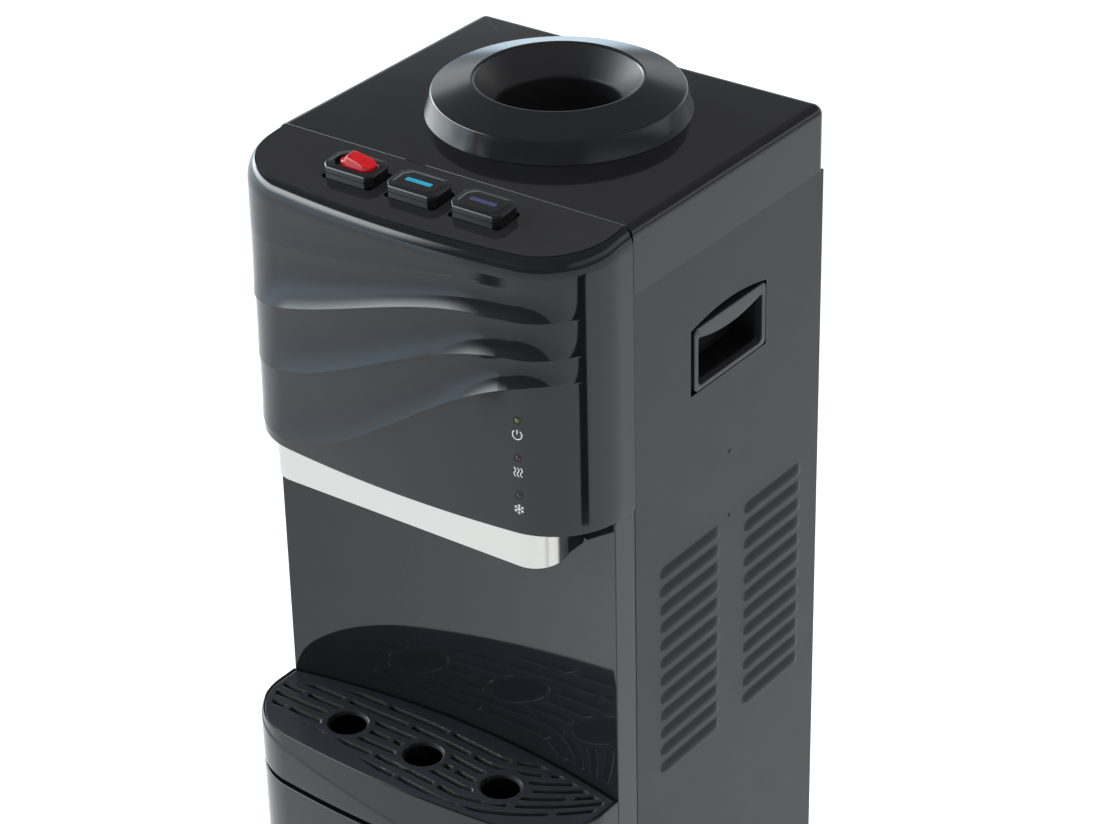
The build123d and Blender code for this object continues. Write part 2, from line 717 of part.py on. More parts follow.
handle_z = lid_top - handle_drop
hole_width = handle_width - 2 * handle_border
hole_height = handle_height - 2 * handle_border
panel_top = lid_bottom - seam_gap
for side_name, side in (("left", -1), ("right", 1)):
    outer_x, inner_x = side * panel_x, side * (panel_x - steel_sheet)
    sheet = block(outer_x, inner_x, seam_gap, rear_y, foot_height, panel_top)
    flange_x = side * (panel_x - flange)
    sheet += block(inner_x, flange_x, rear_y - 2 * steel_sheet,
                   rear_y - steel_sheet, foot_height + flange, panel_top)
    sheet -= block(0, side * tall, handle_y - hole_width / 2, handle_y + hole_width / 2,
                   handle_z - hole_height / 2, handle_z + hole_height / 2)
    hoods, mouths = [], []
    for group_y in louvre_group_y:
        for i in range(louvre_count):
            hood, mouth = louvre(side, group_y, lid_top - louvre_first_drop - i * louvre_pitch)
            hoods.append(hood)
            mouths.append(mouth)
    sheet = (sheet - mouths) + hoods
    for drop in tank_screw_drops:
        sheet -= along_x(tank_screw_y, lid_top - drop, -tall, tall, screw_radius + screw_gap)
    keep(side_name + "_side_panel", sheet)

    # Hand hold: a rim on the panel and a cup behind it, with a finger lip along its top edge
    rim_x = side * (panel_x + handle_rim)
    deep_x = side * (panel_x - handle_depth)
    cup_gap = seam_gap / 2
    cup_y, cup_z = hole_width / 2 - cup_gap, hole_height / 2 - cup_gap
    hold = block(rim_x, outer_x, handle_y - handle_width / 2, handle_y + handle_width / 2,
                 handle_z - handle_height / 2, handle_z + handle_height / 2)
    hold = fillet(hold.edges().filter_by(Axis.X), handle_corner)
    hold += block(rim_x, deep_x, handle_y - cup_y, handle_y + cup_y,
                  handle_z - cup_z, handle_z + cup_z)
    hollow_x = side * (panel_x - handle_depth + handle_wall)
    hold -= block(hollow_x, 2 * rim_x,
                  handle_y - cup_y + handle_wall, handle_y + cup_y - handle_wall,
                  handle_z - cup_z + handle_wall, handle_z + cup_z - handle_wall)
    lip_cut = 2 * (cup_y - handle_wall)
    lip_bottom = handle_z + cup_z - handle_wall - hole_height / 4
    lip = block(rim_x, outer_x, handle_y - lip_cut / 2, handle_y + lip_cut / 2,
                lip_bottom, handle_z + cup_z)
    keep(side_name + "_hand_hold", hold + lip)

turn = condenser_pass_pitch / 2
run_x = condenser_width / 2 - turn
line_z = condenser_bottom - line_drop

# Rear panel, with pressed tabs for the condenser and holes for switches, drain and cord
rear = block(-panel_x + steel_sheet, panel_x - steel_sheet, rear_y - steel_sheet, rear_y,
             foot_height + flange, panel_top)
frame_half_w, frame_half_h = switch_frame_width / 2, switch_frame_height / 2
body_half_w, body_half_h = frame_half_w - switch_frame_border, frame_half_h - switch_frame_border
rear -= block(switch_x - body_half_w - seam_gap, switch_x + body_half_w + seam_gap, 0, tall,
              switch_z - body_half_h - seam_gap, switch_z + body_half_h + seam_gap)
rear -= along_y(gland_x, gland_z, 0, tall, gland_radius / 2 + seam_gap / 2)
rear -= along_y(drain_x, drain_z, 0, tall, drain_radius + seam_gap / 2)
rear -= along_y(-run_x, line_z, 0, tall, condenser_tube + line_gap)
condenser_top = condenser_bottom + (condenser_passes - 1) * condenser_pass_pitch
tube_y = rear_y + condenser_offset
tab_x = condenser_width / 2 - 2 * tab_width
for tab_z in (condenser_bottom + turn, condenser_top - turn):
    for tab_place in (-tab_x, tab_x):
        rear += block(tab_place - tab_width / 2, tab_place + tab_width / 2,
                      rear_y, tube_y - condenser_tube - wire_gap,
                      tab_z - turn - condenser_tube, tab_z + turn + condenser_tube)
keep("rear_panel", rear)

# Condenser: one serpentine tube between two rows of stiffening wires
with BuildLine() as serpentine:
    for i in range(condenser_passes):
        pass_z = condenser_bottom + i * condenser_pass_pitch
        start = -run_x if i % 2 == 0 else run_x
        Line((start, tube_y, pass_z), (-start, tube_y, pass_z))
        if i < condenser_passes - 1:
            bulge = turn if start < 0 else -turn
            ThreePointArc((-start, tube_y, pass_z), (-start + bulge, tube_y, pass_z + turn),
                          (-start, tube_y, pass_z + condenser_pass_pitch))
serpent_start = Plane((-run_x, tube_y, condenser_bottom), z_dir=(1, 0, 0))
keep("condenser_tube", sweep(serpent_start * Circle(condenser_tube), path=serpentine.wires()[0]))
wires = []
wire_count = int(2 * run_x / wire_pitch)
for i in range(wire_count + 1):
    wire_x = -run_x + i * 2 * run_x / wire_count
    wire_y = tube_y + condenser_tube + wire_gap + wire_radius
    wires.append(upright(wire_x, wire_y, condenser_bottom - turn, condenser_top + turn, wire_radius))
keep("condenser_wires", *wires)

# Rear switches: a frame with two rockers on cross pins
switch_face = rear_y + switch_frame_thickness
switch_frame = block(switch_x - frame_half_w, switch_x + frame_half_w, rear_y, switch_face,
                     switch_z - frame_half_h, switch_z + frame_half_h)
switch_frame += block(switch_x - body_half_w, switch_x + body_half_w, rear_y - switch_body_depth, rear_y,
                      switch_z - body_half_h, switch_z + body_half_h)
rocker_pivot_y = switch_face - rocker_depth / 2
rockers = []
for rocker_x in (switch_x - switch_pitch / 2, switch_x + switch_pitch / 2):
    pocket_w, pocket_h = rocker_width / 2 + moving_gap, rocker_height / 2 + rocker_proud
    switch_frame -= block(rocker_x - pocket_w, rocker_x + pocket_w, rear_y - switch_body_depth + moulded_wall,
                          switch_face + 1, switch_z - pocket_h, switch_z + pocket_h)
    rocker = block(rocker_x - rocker_width / 2, rocker_x + rocker_width / 2,
                   rocker_pivot_y - rocker_depth / 2, switch_face + rocker_proud,
                   switch_z - rocker_height / 2, switch_z + rocker_height / 2)
    hollow = Pos(rocker_x, switch_face + rocker_proud + 4 * rocker_height, switch_z) * Rot(0, 90, 0)
    rocker -= hollow * Cylinder(4 * rocker_height + rocker_proud / 2, rocker_width)
    pin_reach = rocker_width / 2 + moving_gap + moulded_wall / 2
    rocker += along_x(rocker_pivot_y, switch_z, rocker_x - pin_reach, rocker_x + pin_reach, screw_radius)
    rockers.append(rocker)
    switch_frame -= along_x(rocker_pivot_y, switch_z, rocker_x - pin_reach - hinge_pin_gap,
                            rocker_x + pin_reach + hinge_pin_gap, screw_radius + hinge_pin_gap)
keep("rear_switch_frame", switch_frame)
keep("hot_switch_rocker", rockers[0])
keep("cold_switch_rocker", rockers[1])

# Cord gland and drain outlet with its screwed cap
gland = along_y(gland_x, gland_z, rear_y, rear_y + gland_length, gland_radius)
gland = fillet(gland.edges().sort_by(Axis.Y)[-1], gland_radius / 4)
gland += along_y(gland_x, gland_z, rear_y - gland_length / 2, rear_y, gland_radius / 2)
gland -= along_y(gland_x, gland_z, 0, tall, gland_bore)
keep("cord_gland", gland)
drain = along_y(drain_x, drain_z, rear_y - drain_length, rear_y + drain_length, drain_radius)
drain -= along_y(drain_x, drain_z, 0, tall, drain_radius - moulded_wall)
keep("drain_outlet", drain)
cap = along_y(drain_x, drain_z, rear_y + drain_length - drain_cap_length / 2,
              rear_y + drain_length + drain_cap_length / 2, drain_cap_radius)
cap -= along_y(drain_x, drain_z, rear_y, rear_y + drain_length, drain_radius + moving_gap)
keep("drain_cap", chamfer(cap.edges().sort_by(Axis.Y)[-1], drain_cap_length / 8))

# Places of the water tubes and refrigerant lines that pass through the shelves
feed_y = hot_y
suction_y = compressor_y + line_spread
discharge_y = compressor_y - line_spread


def through(piece, x, y, radius):
    """Piece with an upright clearance hole for a tube."""
    return piece - upright(x, y, 0, tall, radius + line_gap)


# Tank shelf, hung between the side panels by two screws on each side
shelf_x = panel_x - steel_sheet
tank_shelf = block(-shelf_x, shelf_x, tank_shelf_front, tank_shelf_back, tank_shelf_z, foam_bottom)
for side in (-1, 1):
    tank_shelf += block(side * shelf_x, side * (shelf_x - 2 * steel_sheet), tank_screw_y - flange,
                        tank_screw_y + flange, tank_shelf_z, tank_shelf_z + tank_shelf_side)
for drop in tank_screw_drops:
    tank_shelf -= along_x(tank_screw_y, lid_top - drop, -tall, tall, screw_radius + screw_gap)
tank_shelf = through(tank_shelf, feed_x, feed_y, tube_radius)
keep("tank_shelf", through(tank_shelf, -line_spread, suction_y, condenser_tube))
screws = []
for side in (-1, 1):
    for drop in tank_screw_drops:
        tip, seat = side * (panel_x - screw_length), side * panel_x
        head_end = side * (panel_x + screw_head_height)
        shank = along_x(tank_screw_y, lid_top - drop, tip, seat, screw_radius)
        screws.append(shank + along_x(tank_screw_y, lid_top - drop, seat, head_end, screw_head))
keep("side_screws", *screws)

# Divider between the tank room and the storage room
divider = block(-shelf_x, shelf_x, 0, rear_y - 2 * steel_sheet, divider_z, divider_z + 2 * steel_sheet)
keep("divider_shelf", through(divider, -line_spread, suction_y, condenser_tube))

# Cold tank in its foam shell, with the evaporator coil between them and a cover that takes the throat
coil_radius = cold_radius + coil_gap + coil_tube
foam_inner = coil_radius + coil_tube + coil_gap
cold = upright(0, collar_y, tank_bottom, tank_top, cold_radius)
cold -= upright(0, collar_y, tank_bottom + tank_sheet, tank_top, cold_radius - tank_sheet)
keep("cold_tank", cold)
foam = upright(0, collar_y, foam_bottom, tank_top, foam_inner + foam_wall)
foam -= upright(0, collar_y, tank_bottom, tank_top, foam_inner)
inlet_z = tap_floor + tap_inlet_height
cold_out_z = tank_bottom + coil_start / 2
normal_out_z = tank_top - coil_start
foam -= along_y(button_places["cold"], cold_out_z, 0, collar_y, tube_radius + line_gap)
foam -= along_y(button_places["normal"], normal_out_z, 0, collar_y, tube_radius + line_gap)
foam -= upright(feed_x, feed_y, foam_bottom, tank_bottom, tube_radius + line_gap)
keep("tank_insulation", foam)
cover_top = tank_top + tank_cover_thickness
cover = upright(0, collar_y, tank_top, cover_top, foam_inner + foam_wall)
cover += upright(0, collar_y, tank_top - tank_cover_thickness, tank_top, cold_radius - tank_sheet - seam_gap)
cover -= upright(0, collar_y, 0, tall, throat_outer + moving_gap)
keep("cold_tank_cover", cover)
with BuildLine() as winding:
    for i in range(4 * coil_turns):
        quarter = [(coil_radius * cos(a), coil_radius * sin(a), coil_pitch * a / (2 * pi))
                   for a in (i * pi / 2, (i + 0.5) * pi / 2, (i + 1) * pi / 2)]
        ThreePointArc(*quarter)
coil_path = winding.wires()[0]
coil = sweep(Plane(coil_path @ 0, z_dir=coil_path % 0) * Circle(coil_tube), path=coil_path)
keep("evaporator_coil", Pos(0, collar_y, tank_bottom + coil_start) * coil)

# Hot tank on legs, with a band heater and an insulating jacket in two heights
hot_bottom = divider_z + 2 * steel_sheet + hot_leg
hot = upright(hot_x, hot_y, hot_bottom, hot_bottom + hot_height, hot_radius)
hot -= upright(hot_x, hot_y, hot_bottom + tank_sheet, hot_bottom + hot_height - tank_sheet,
               hot_radius - tank_sheet)
for angle in range(0, 360, 120):
    leg_x = hot_x + hot_leg_circle * cos(radians(angle))
    leg_y = hot_y + hot_leg_circle * sin(radians(angle))
    hot += upright(leg_x, leg_y, hot_bottom - hot_leg, hot_bottom, tube_radius)
keep("hot_tank", hot)
heater = upright(hot_x, hot_y, hot_bottom, hot_bottom + heater_height, hot_radius + heater_wall)
keep("heater_band", heater - upright(hot_x, hot_y, 0, tall, hot_radius + screw_gap))
jacket = upright(hot_x, hot_y, hot_bottom + heater_height, hot_bottom + hot_height + jacket_wall,
                 hot_radius + jacket_wall)
jacket -= upright(hot_x, hot_y, 0, hot_bottom + hot_height, hot_radius + screw_gap)
keep("hot_tank_jacket", through(jacket, hot_x, hot_y, tube_radius))

# Water tubes: cold and room-temperature water from the cold tank, hot water, and the feed of the hot tank
inlet_y = button_y + tap_chamber_radius + tap_inlet_length + seam_gap
riser_y = inlet_y + tube_bend + tube_radius + seam_gap
hot_top = hot_bottom + hot_height
under_shelf = tank_shelf_z - 2 * tube_radius
hot_tap_x, cold_tap_x, normal_tap_x = (button_places[name] for name in ("hot", "cold", "normal"))
normal_wall_y = collar_y - sqrt(cold_radius ** 2 - normal_tap_x ** 2) - 2 * tube_radius
feed_z = hot_bottom + hot_height / 2
tube_routes = [
    [(cold_tap_x, collar_y - cold_radius - seam_gap, cold_out_z), (cold_tap_x, riser_y, cold_out_z),
     (cold_tap_x, riser_y, inlet_z), (cold_tap_x, inlet_y, inlet_z)],
    [(normal_tap_x, normal_wall_y, normal_out_z), (normal_tap_x, riser_y, normal_out_z),
     (normal_tap_x, riser_y, inlet_z), (normal_tap_x, inlet_y, inlet_z)],
    [(hot_x, hot_y, hot_top + seam_gap), (hot_x, hot_y, under_shelf), (hot_x, riser_y, under_shelf),
     (hot_tap_x, riser_y, under_shelf), (hot_tap_x, riser_y, inlet_z), (hot_tap_x, inlet_y, inlet_z)],
    [(feed_x, feed_y, tank_bottom - seam_gap), (feed_x, feed_y, feed_z),
     (hot_x - hot_radius - jacket_wall - seam_gap, feed_y, feed_z)]]
keep("water_tubes", *[swept_tube(route, tube_radius, tube_bend) for route in tube_routes])

# Compressor on rubber grommets
shell_bottom = foot_z + compressor_plate
shell = upright(0, compressor_y, shell_bottom, shell_bottom + compressor_height, compressor_radius)
shell = fillet(shell.edges().filter_by(GeomType.CIRCLE), compressor_dome)
shell += block(-compressor_foot / 2, compressor_foot / 2, compressor_y - compressor_radius / 2,
               compressor_y + compressor_radius / 2, foot_z, shell_bottom + compressor_plate)
keep("compressor", shell)
grommets = []
for grommet_x in (-compressor_foot / 2 + grommet_radius, compressor_foot / 2 - grommet_radius):
    for grommet_y in (-compressor_radius / 2 + grommet_radius, compressor_radius / 2 - grommet_radius):
        grommets.append(upright(grommet_x, compressor_y + grommet_y, pan_top, foot_z, grommet_radius))
keep("compressor_grommets", *grommets)

# Refrigerant lines: suction straight up to the foam, discharge out through the rear to the condenser
shell_top = shell_bottom + compressor_height + seam_gap
discharge_route = [(-line_spread, discharge_y, shell_top), (-line_spread, discharge_y, line_z),
                   (-run_x, discharge_y, line_z), (-run_x, tube_y, line_z),
                   (-run_x, tube_y, condenser_bottom - condenser_tube - seam_gap)]
discharge = swept_tube(discharge_route, condenser_tube, line_bend)
suction = upright(-line_spread, suction_y, shell_top, foam_bottom - seam_gap, condenser_tube)
keep("refrigerant_lines", suction, discharge)

os.makedirs("parts", exist_ok=True)
for node, shape in nodes.items():
    export_step(Pos(0, shift_y, 0) * shape, f"parts/{node}.step")
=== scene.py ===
import json
from math import asin, cos, pi, radians, sin, tan

import bmesh
import bpy
import numpy as np
from mathutils import Matrix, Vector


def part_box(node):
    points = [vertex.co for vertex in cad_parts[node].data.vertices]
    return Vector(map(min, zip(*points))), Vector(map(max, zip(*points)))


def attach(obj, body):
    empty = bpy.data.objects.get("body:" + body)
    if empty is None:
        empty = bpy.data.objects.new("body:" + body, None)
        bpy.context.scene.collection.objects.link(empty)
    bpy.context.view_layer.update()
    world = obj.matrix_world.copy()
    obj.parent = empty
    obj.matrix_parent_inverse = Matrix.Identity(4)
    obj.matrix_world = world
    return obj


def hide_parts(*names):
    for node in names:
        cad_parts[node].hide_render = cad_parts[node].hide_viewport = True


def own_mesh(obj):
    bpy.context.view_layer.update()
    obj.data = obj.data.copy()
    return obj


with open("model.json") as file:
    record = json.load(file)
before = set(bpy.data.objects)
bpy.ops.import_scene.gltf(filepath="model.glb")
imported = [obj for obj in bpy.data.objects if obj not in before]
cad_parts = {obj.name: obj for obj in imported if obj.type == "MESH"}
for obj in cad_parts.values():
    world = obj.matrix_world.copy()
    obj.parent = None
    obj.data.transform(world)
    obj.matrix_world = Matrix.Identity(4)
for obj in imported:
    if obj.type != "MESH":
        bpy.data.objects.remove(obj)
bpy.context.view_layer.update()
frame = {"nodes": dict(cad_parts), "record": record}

# Bottled water cooler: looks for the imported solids. Metres, +Z up, front towards -Y.
MM = 0.001
scene = bpy.context.scene
scene.view_settings.view_transform = "Standard"

# Places read from the frame
LID_LOW, LID_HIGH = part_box("top_lid")
HEAD_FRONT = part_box("head_fascia")[0].y
SEAM_Y = LID_LOW.y
LID_TOP = LID_HIGH.z

# Sizes of the solids in millimetres, drawn with Y = 0 at the seam between the lid and the head
HALF, TOP, HEAD_REACH, BASE_REACH, HEAD_BOTTOM = 155, 950, 79, 106, 730
CORNER, BULGE, ROLL, ROLL_FALL, BORDER, WALL, SEAM_GAP = 58, 900, 8, 16, 6.5, 2.5, 0.4
DECK_TAN = tan(radians(5))
# Turn of the front from its middle to where the corner arc starts
BOW = asin((HALF - CORNER) / (BULGE - CORNER))
# Edges above this angle in degrees stay sharp, faces below this one are joined, points this near in metres are welded
SHARP, FLAT, WELD = 38, 0.4, 2e-6
# Colour and roughness change over patches this many grains wide
MOTTLE_GRAINS = 40


def linear(code):
    """Linear colour of an sRGB hex code: each channel through the inverse of the sRGB curve."""
    parts = [int(code[i:i + 2], 16) / 255 for i in (0, 2, 4)]
    return [p / 12.92 if p <= 0.04045 else ((p + 0.055) / 1.055) ** 2.4 for p in parts] + [1.0]


def add_node(tree, kind, links=(), **settings):
    """New shader node with its properties or input values set, and its inputs linked from given sockets."""
    node = tree.nodes.new("ShaderNode" + kind)
    for name, value in settings.items():
        if hasattr(node, name):
            setattr(node, name, value)
        else:
            node.inputs[name.replace("_", " ")].default_value = value
    for socket, source in dict(links).items():
        tree.links.new(source, node.inputs[socket])
    return node


def new_material(name):
    """Empty node material with its shader and output: returns the material, its tree and its shader."""
    material = bpy.data.materials.new(name)
    material.use_nodes = True
    tree = material.node_tree
    return material, tree, tree.nodes["Principled BSDF"]


def speckle(tree, size_mm, detail=4.0):
    """Noise on object coordinates whose blobs are about as large as the size in millimetres."""
    place = add_node(tree, "TexCoord")
    return add_node(tree, "TexNoise", {"Vector": place.outputs["Object"]},
                    Scale=1 / (size_mm * MM), Detail=detail)


def finish(name, code, roughness, spread, bump_mm, grain_mm=0.6, metallic=0.0, ior=1.5, tint=0.12):
    """Material with a fine relief of a grain size, whose colour and roughness vary a little over broad patches."""
    material, tree, shader = new_material(name)
    grain = speckle(tree, grain_mm)
    mottle = speckle(tree, grain_mm * MOTTLE_GRAINS, 2.0)
    ramp = add_node(tree, "ValToRGB", {"Fac": mottle.outputs["Fac"]})
    for element, share in zip(ramp.color_ramp.elements, (1 - tint, 1 + tint)):
        element.color = [c * share for c in linear(code)[:3]] + [1.0]
    rough = add_node(tree, "MapRange", {"Value": mottle.outputs["Fac"]}, To_Min=roughness - spread,
                     To_Max=roughness + spread)
    bump = add_node(tree, "Bump", {"Height": grain.outputs["Fac"]}, Distance=bump_mm * MM, Strength=1.0)
    tree.links.new(ramp.outputs["Color"], shader.inputs["Base Color"])
    tree.links.new(rough.outputs["Result"], shader.inputs["Roughness"])
    tree.links.new(bump.outputs["Normal"], shader.inputs["Normal"])
    shader.inputs["Metallic"].default_value = metallic
    shader.inputs["IOR"].default_value = ior
    return material


# Materials, each named for the real one and how it was made, with what that gives the eye. Grain of plastic, paint
# and metal is finer than a pixel, so it is drawn about a pixel wide, 0.5 to 1 mm.
# ABS from a polished mould: nearly black by itself, it mirrors the room
gloss_abs = finish("polished_abs_black", "121214", 0.05, 0.01, 0.0006, 0.8)
lid_abs = finish("polished_abs_lid", "171719", 0.07, 0.01, 0.0005, 0.8, ior=1.43)
head_abs = finish("polished_abs_graphite", "14161a", 0.08, 0.015, 0.0005, 0.8, ior=1.46)
deck_abs = finish("polished_abs_deck", "202021", 0.05, 0.01, 0.0004, 0.8)
tray_abs = finish("polished_abs_tray", "101113", 0.1, 0.02, 0.0006, 0.8, ior=1.45)
# The same, clearest: the alcove shows an image of the grille
alcove_abs = finish("mirror_polished_abs_graphite", "1f2125", 0.04, 0.008, 0.0003, 0.8, ior=1.45)
# Less polished ABS: blurred streaks on the collar, a dull sheen on the grille
collar_abs = finish("turned_abs_collar", "141517", 0.17, 0.02, 0.0006, 0.8)
grille_abs = finish("polished_abs_grille", "2d2f35", 0.16, 0.02, 0.0008, 0.8, ior=1.36)
# Coloured ABS: flat strong colour, one small highlight
red_abs = finish("polished_abs_red", "b3121a", 0.2, 0.03, 0.002)
navy_abs = finish("polished_abs_navy", "343a58", 0.25, 0.03, 0.002)
cyan_abs = finish("polished_abs_cyan", "168aa6", 0.25, 0.03, 0.002)
# Satin ABS: broad soft highlights, no image
button_abs = finish("satin_abs_black", "131315", 0.22, 0.03, 0.001, 0.5)
funnel_abs = finish("satin_abs_funnel", "1d1d1f", 0.42, 0.04, 0.003, ior=1.42)
hold_abs = finish("satin_abs_hold", "2a2a2d", 0.4, 0.04, 0.004)
white_abs = finish("moulded_abs_white", "dcdbd6", 0.35, 0.05, 0.006)
# Textured ABS: hardly a highlight, so it reads as a hollow
inner_abs = finish("textured_abs_dark", "1b1b1d", 0.5, 0.05, 0.02)
# Near black: the lamp rings' own black, and painted shade in the hand-hold pockets and in the grille's openings
black_abs_and_painted_shade = finish("textured_abs_black_and_painted_shade", "060607", 0.7, 0.05, 0.01)
# Powder coat: even charcoal with a fine tooth, paler towards the light
coated_steel = finish("powder_coated_steel_charcoal", "161619", 0.40, 0.04, 0.006, 0.7, ior=1.42)
# Drawn steel: a pale band that mirrors softly
bright_steel = finish("drawn_steel_bright", "c4c3bf", 0.22, 0.02, 0.0004, metallic=1.0, tint=0.02)
# Rolled stainless steel: greyer, wide streaks of light
tank_steel = finish("rolled_stainless_steel", "a9a9aa", 0.33, 0.05, 0.002, metallic=1.0, tint=0.04)
# Drawn copper: warm lines of light along the tubes
copper = finish("drawn_copper", "b0714c", 0.3, 0.08, 0.003, 0.8, metallic=1.0)
# Galvanised sheet: dull grey, spangle 6 mm wide
zinc = finish("galvanised_steel", "8f9496", 0.45, 0.1, 0.01, 6.0, metallic=1.0, tint=0.15)
# Blackened steel: small dull dots
dark_screw = finish("blackened_steel", "3a3a3c", 0.4, 0.05, 0.003, metallic=0.6)
# Enamel on steel: wet-looking black wires and shell
enamel = finish("black_enamelled_steel", "0e0e0f", 0.3, 0.05, 0.004, 0.8)
# Bead foam: matt white, beads 3 mm wide
bead_foam = finish("moulded_bead_foam", "e4e3dc", 0.85, 0.05, 0.3, 3.0)
# Rubber: matt black, no highlight
rubber = finish("moulded_rubber", "161616", 0.7, 0.05, 0.01)
# Solder resist: dark green with a dull shine
board = finish("solder_resist_board", "14512f", 0.4, 0.05, 0.01, 1.0)
# Silicone tube: milky, with a soft line of light
silicone = finish("extruded_silicone", "d9d7cf", 0.4, 0.05, 0.01, 1.0)
# Tinted acrylic: deep colour with a bright point of light
lens, lens_green, lens_red, lens_dark = (
    finish("tinted_" + name, code, 0.1, 0.02, 0.001, 1.0) for name, code in
    (("lens_acrylic", "3c4a1c"), ("acrylic_green", "6b6a1e"), ("acrylic_red", "4a1418"), ("acrylic_smoke", "20242c")))
# Pad-printed ink: flat white
sign_ink = finish("pad_printed_ink_white", "dfe2e4", 0.5, 0.03, 0.001)

slot_materials = {
    "gloss_dark_plastic": gloss_abs, "satin_grey_plastic": head_abs, "charcoal_sheet": coated_steel,
    "bright_steel": bright_steel, "tank_steel": tank_steel, "white_foam": bead_foam, "copper_tube": copper,
    "black_rubber": rubber, "black_enamel": enamel, "zinc_sheet": zinc, "circuit_board": board,
    "silicone_tube": silicone, "white_plastic": white_abs, "red_plastic": red_abs, "navy_plastic": navy_abs,
    "cyan_plastic": cyan_abs, "lamp_lens": lens, "inner_plastic": inner_abs,
}
slot_of = {part["node"]: part["material_slot"] for part in frame["record"]["subparts"]}
for node, slot in slot_of.items():
    mesh = frame["nodes"][node].data
    mesh.materials.clear()
    mesh.materials.append(slot_materials[slot])


# Pieces worked out as surfaces
def cells(grid):
    """Values at the four corners of each cell of a grid, in turn."""
    return np.stack([grid[:-1, :-1], grid[1:, :-1], grid[1:, 1:], grid[:-1, 1:]], -1)


def make_piece(name, grids, material, nodes=(), body="cabinet", sharp=SHARP):
    """Closed piece from grids of points in drawn millimetres: neighbours joined into quads, equal points welded,
    open ends filled, faces turned outwards, and edges kept sharp above an angle in degrees."""
    corners, quads, start = [], [], 0
    for grid in grids:
        rows, columns = grid.shape[:2]
        index = start + np.arange(rows * columns).reshape(rows, columns)
        quads.append(cells(index)[..., [0, 3, 2, 1]].reshape(-1, 4))
        corners.append(grid.reshape(-1, 3))
        start += rows * columns
    points = np.concatenate(corners) * MM + np.array([0.0, SEAM_Y, 0.0])
    mesh = bpy.data.meshes.new(name)
    mesh.from_pydata(points.tolist(), [], np.concatenate(quads).tolist())
    shape = bmesh.new()
    shape.from_mesh(mesh)
    bmesh.ops.remove_doubles(shape, verts=shape.verts, dist=WELD)
    bmesh.ops.holes_fill(shape, edges=[e for e in shape.edges if e.is_boundary], sides=0)
    bmesh.ops.recalc_face_normals(shape, faces=shape.faces)
    shape.to_mesh(mesh)
    shape.free()
    return place_piece(name, mesh, material, nodes, body, sharp)


def place_piece(name, mesh, material, nodes, body="cabinet", sharp=SHARP):
    """Object for a finished mesh: shading, material, the body that it rides and the nodes that it stands for."""
    mesh.shade_smooth()
    mesh.set_sharp_from_angle(angle=radians(sharp))
    mesh.materials.clear()
    mesh.materials.append(material)
    piece = bpy.data.objects.new(name, mesh)
    scene.collection.objects.link(piece)
    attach(piece, body)
    if nodes:
        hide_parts(*nodes)
    weighted = piece.modifiers.new("weighted_normals", "WEIGHTED_NORMAL")
    weighted.keep_sharp = True
    return piece


def eased(node, width, material):
    """Copy of a CAD node, welded, with each sharp edge rounded over by a width in millimetres."""
    mesh = frame["nodes"][node].data.copy()
    mesh.name = node + "_eased"
    shape = bmesh.new()
    shape.from_mesh(mesh)
    bmesh.ops.remove_doubles(shape, verts=shape.verts, dist=WELD)
    bmesh.ops.dissolve_limit(shape, angle_limit=radians(FLAT), verts=shape.verts, edges=shape.edges)
    edges = [e for e in shape.edges if e.is_manifold and e.calc_face_angle(0) > radians(SHARP)]
    bmesh.ops.bevel(shape, geom=edges, offset=width * MM, segments=3, profile=0.5, affect="EDGES", clamp_overlap=True)
    shape.to_mesh(mesh)
    shape.free()
    place_piece(node + "_eased", mesh, material, (node,))


def rounded(points, radii, steps=6):
    """Open line through points with each inner corner replaced by a parabola that starts a radius before it."""
    points = np.array(points, float)
    line = [points[:1]]
    t = np.linspace(0, 1, steps + 1)[:, None]
    for before, corner, after, radius in zip(points[:-2], points[1:-1], points[2:], radii):
        first = corner + (before - corner) * radius / np.linalg.norm(before - corner)
        last = corner + (after - corner) * radius / np.linalg.norm(after - corner)
        line.append((1 - t) ** 2 * first + 2 * t * (1 - t) * corner + t ** 2 * last)
    return np.concatenate(line + [points[-1:]])


def revolved(line, centre, turns=128):
    """Grid of a line of (radius, height) points turned round an upright axis."""
    angle = np.linspace(0, 2 * pi, turns + 1)[None, :]
    radius, height = line[:, :1], line[:, 1:]
    return np.stack([centre[0] + radius * np.cos(angle), centre[1] + radius * np.sin(angle),
                     centre[2] + height + 0 * angle], -1)


def front_line(along, reach):
    """Place and outward direction on the bowed front at lengths along it: bulge arc, corner arc, straight side."""
    length, side = np.abs(along), np.where(along < 0, -1.0, 1.0)
    round_start, round_end = BULGE * BOW, BULGE * BOW + CORNER * (pi / 2 - BOW)
    on_bow = length < round_start
    angle = np.where(on_bow, length / BULGE, np.minimum(BOW + (length - round_start) / CORNER, pi / 2))
    middle_y = BULGE - reach - (BULGE - CORNER) * cos(BOW)
    x = np.where(on_bow, BULGE * np.sin(angle), HALF - CORNER + CORNER * np.sin(angle))
    y = np.where(on_bow, BULGE - reach - BULGE * np.cos(angle), middle_y - CORNER * np.cos(angle))
    y = y + np.maximum(length - round_end, 0)
    return side * x, y, side * np.sin(angle), -np.cos(angle)


def front_length(reach, back_y):
    """Length along the bowed front from the middle to where its straight side reaches a given Y."""
    middle_y = BULGE - reach - (BULGE - CORNER) * cos(BOW)
    return BULGE * BOW + CORNER * (pi / 2 - BOW) + back_y - middle_y


# Head: rolled top edge, four bands that curl out to wave crests, flat skirt
# Each crest: depth below the lid at its left and right ends, and the middle of its climb along the front
CRESTS = ((55, 28, -17), (104, 51, -28), (154, 79, -10), (207, 99, 15))
CREST_SPAN, LEDGE, CURL = 240, 0.8, 2.2
# Each band's tilt at its crest in degrees: before this span along the front, and after it
CREST_TILT, END_TILT, TILT_SPAN = (6.5, 24, 17.5, 16.5), (0, 27, 26, 25), (44, 96)
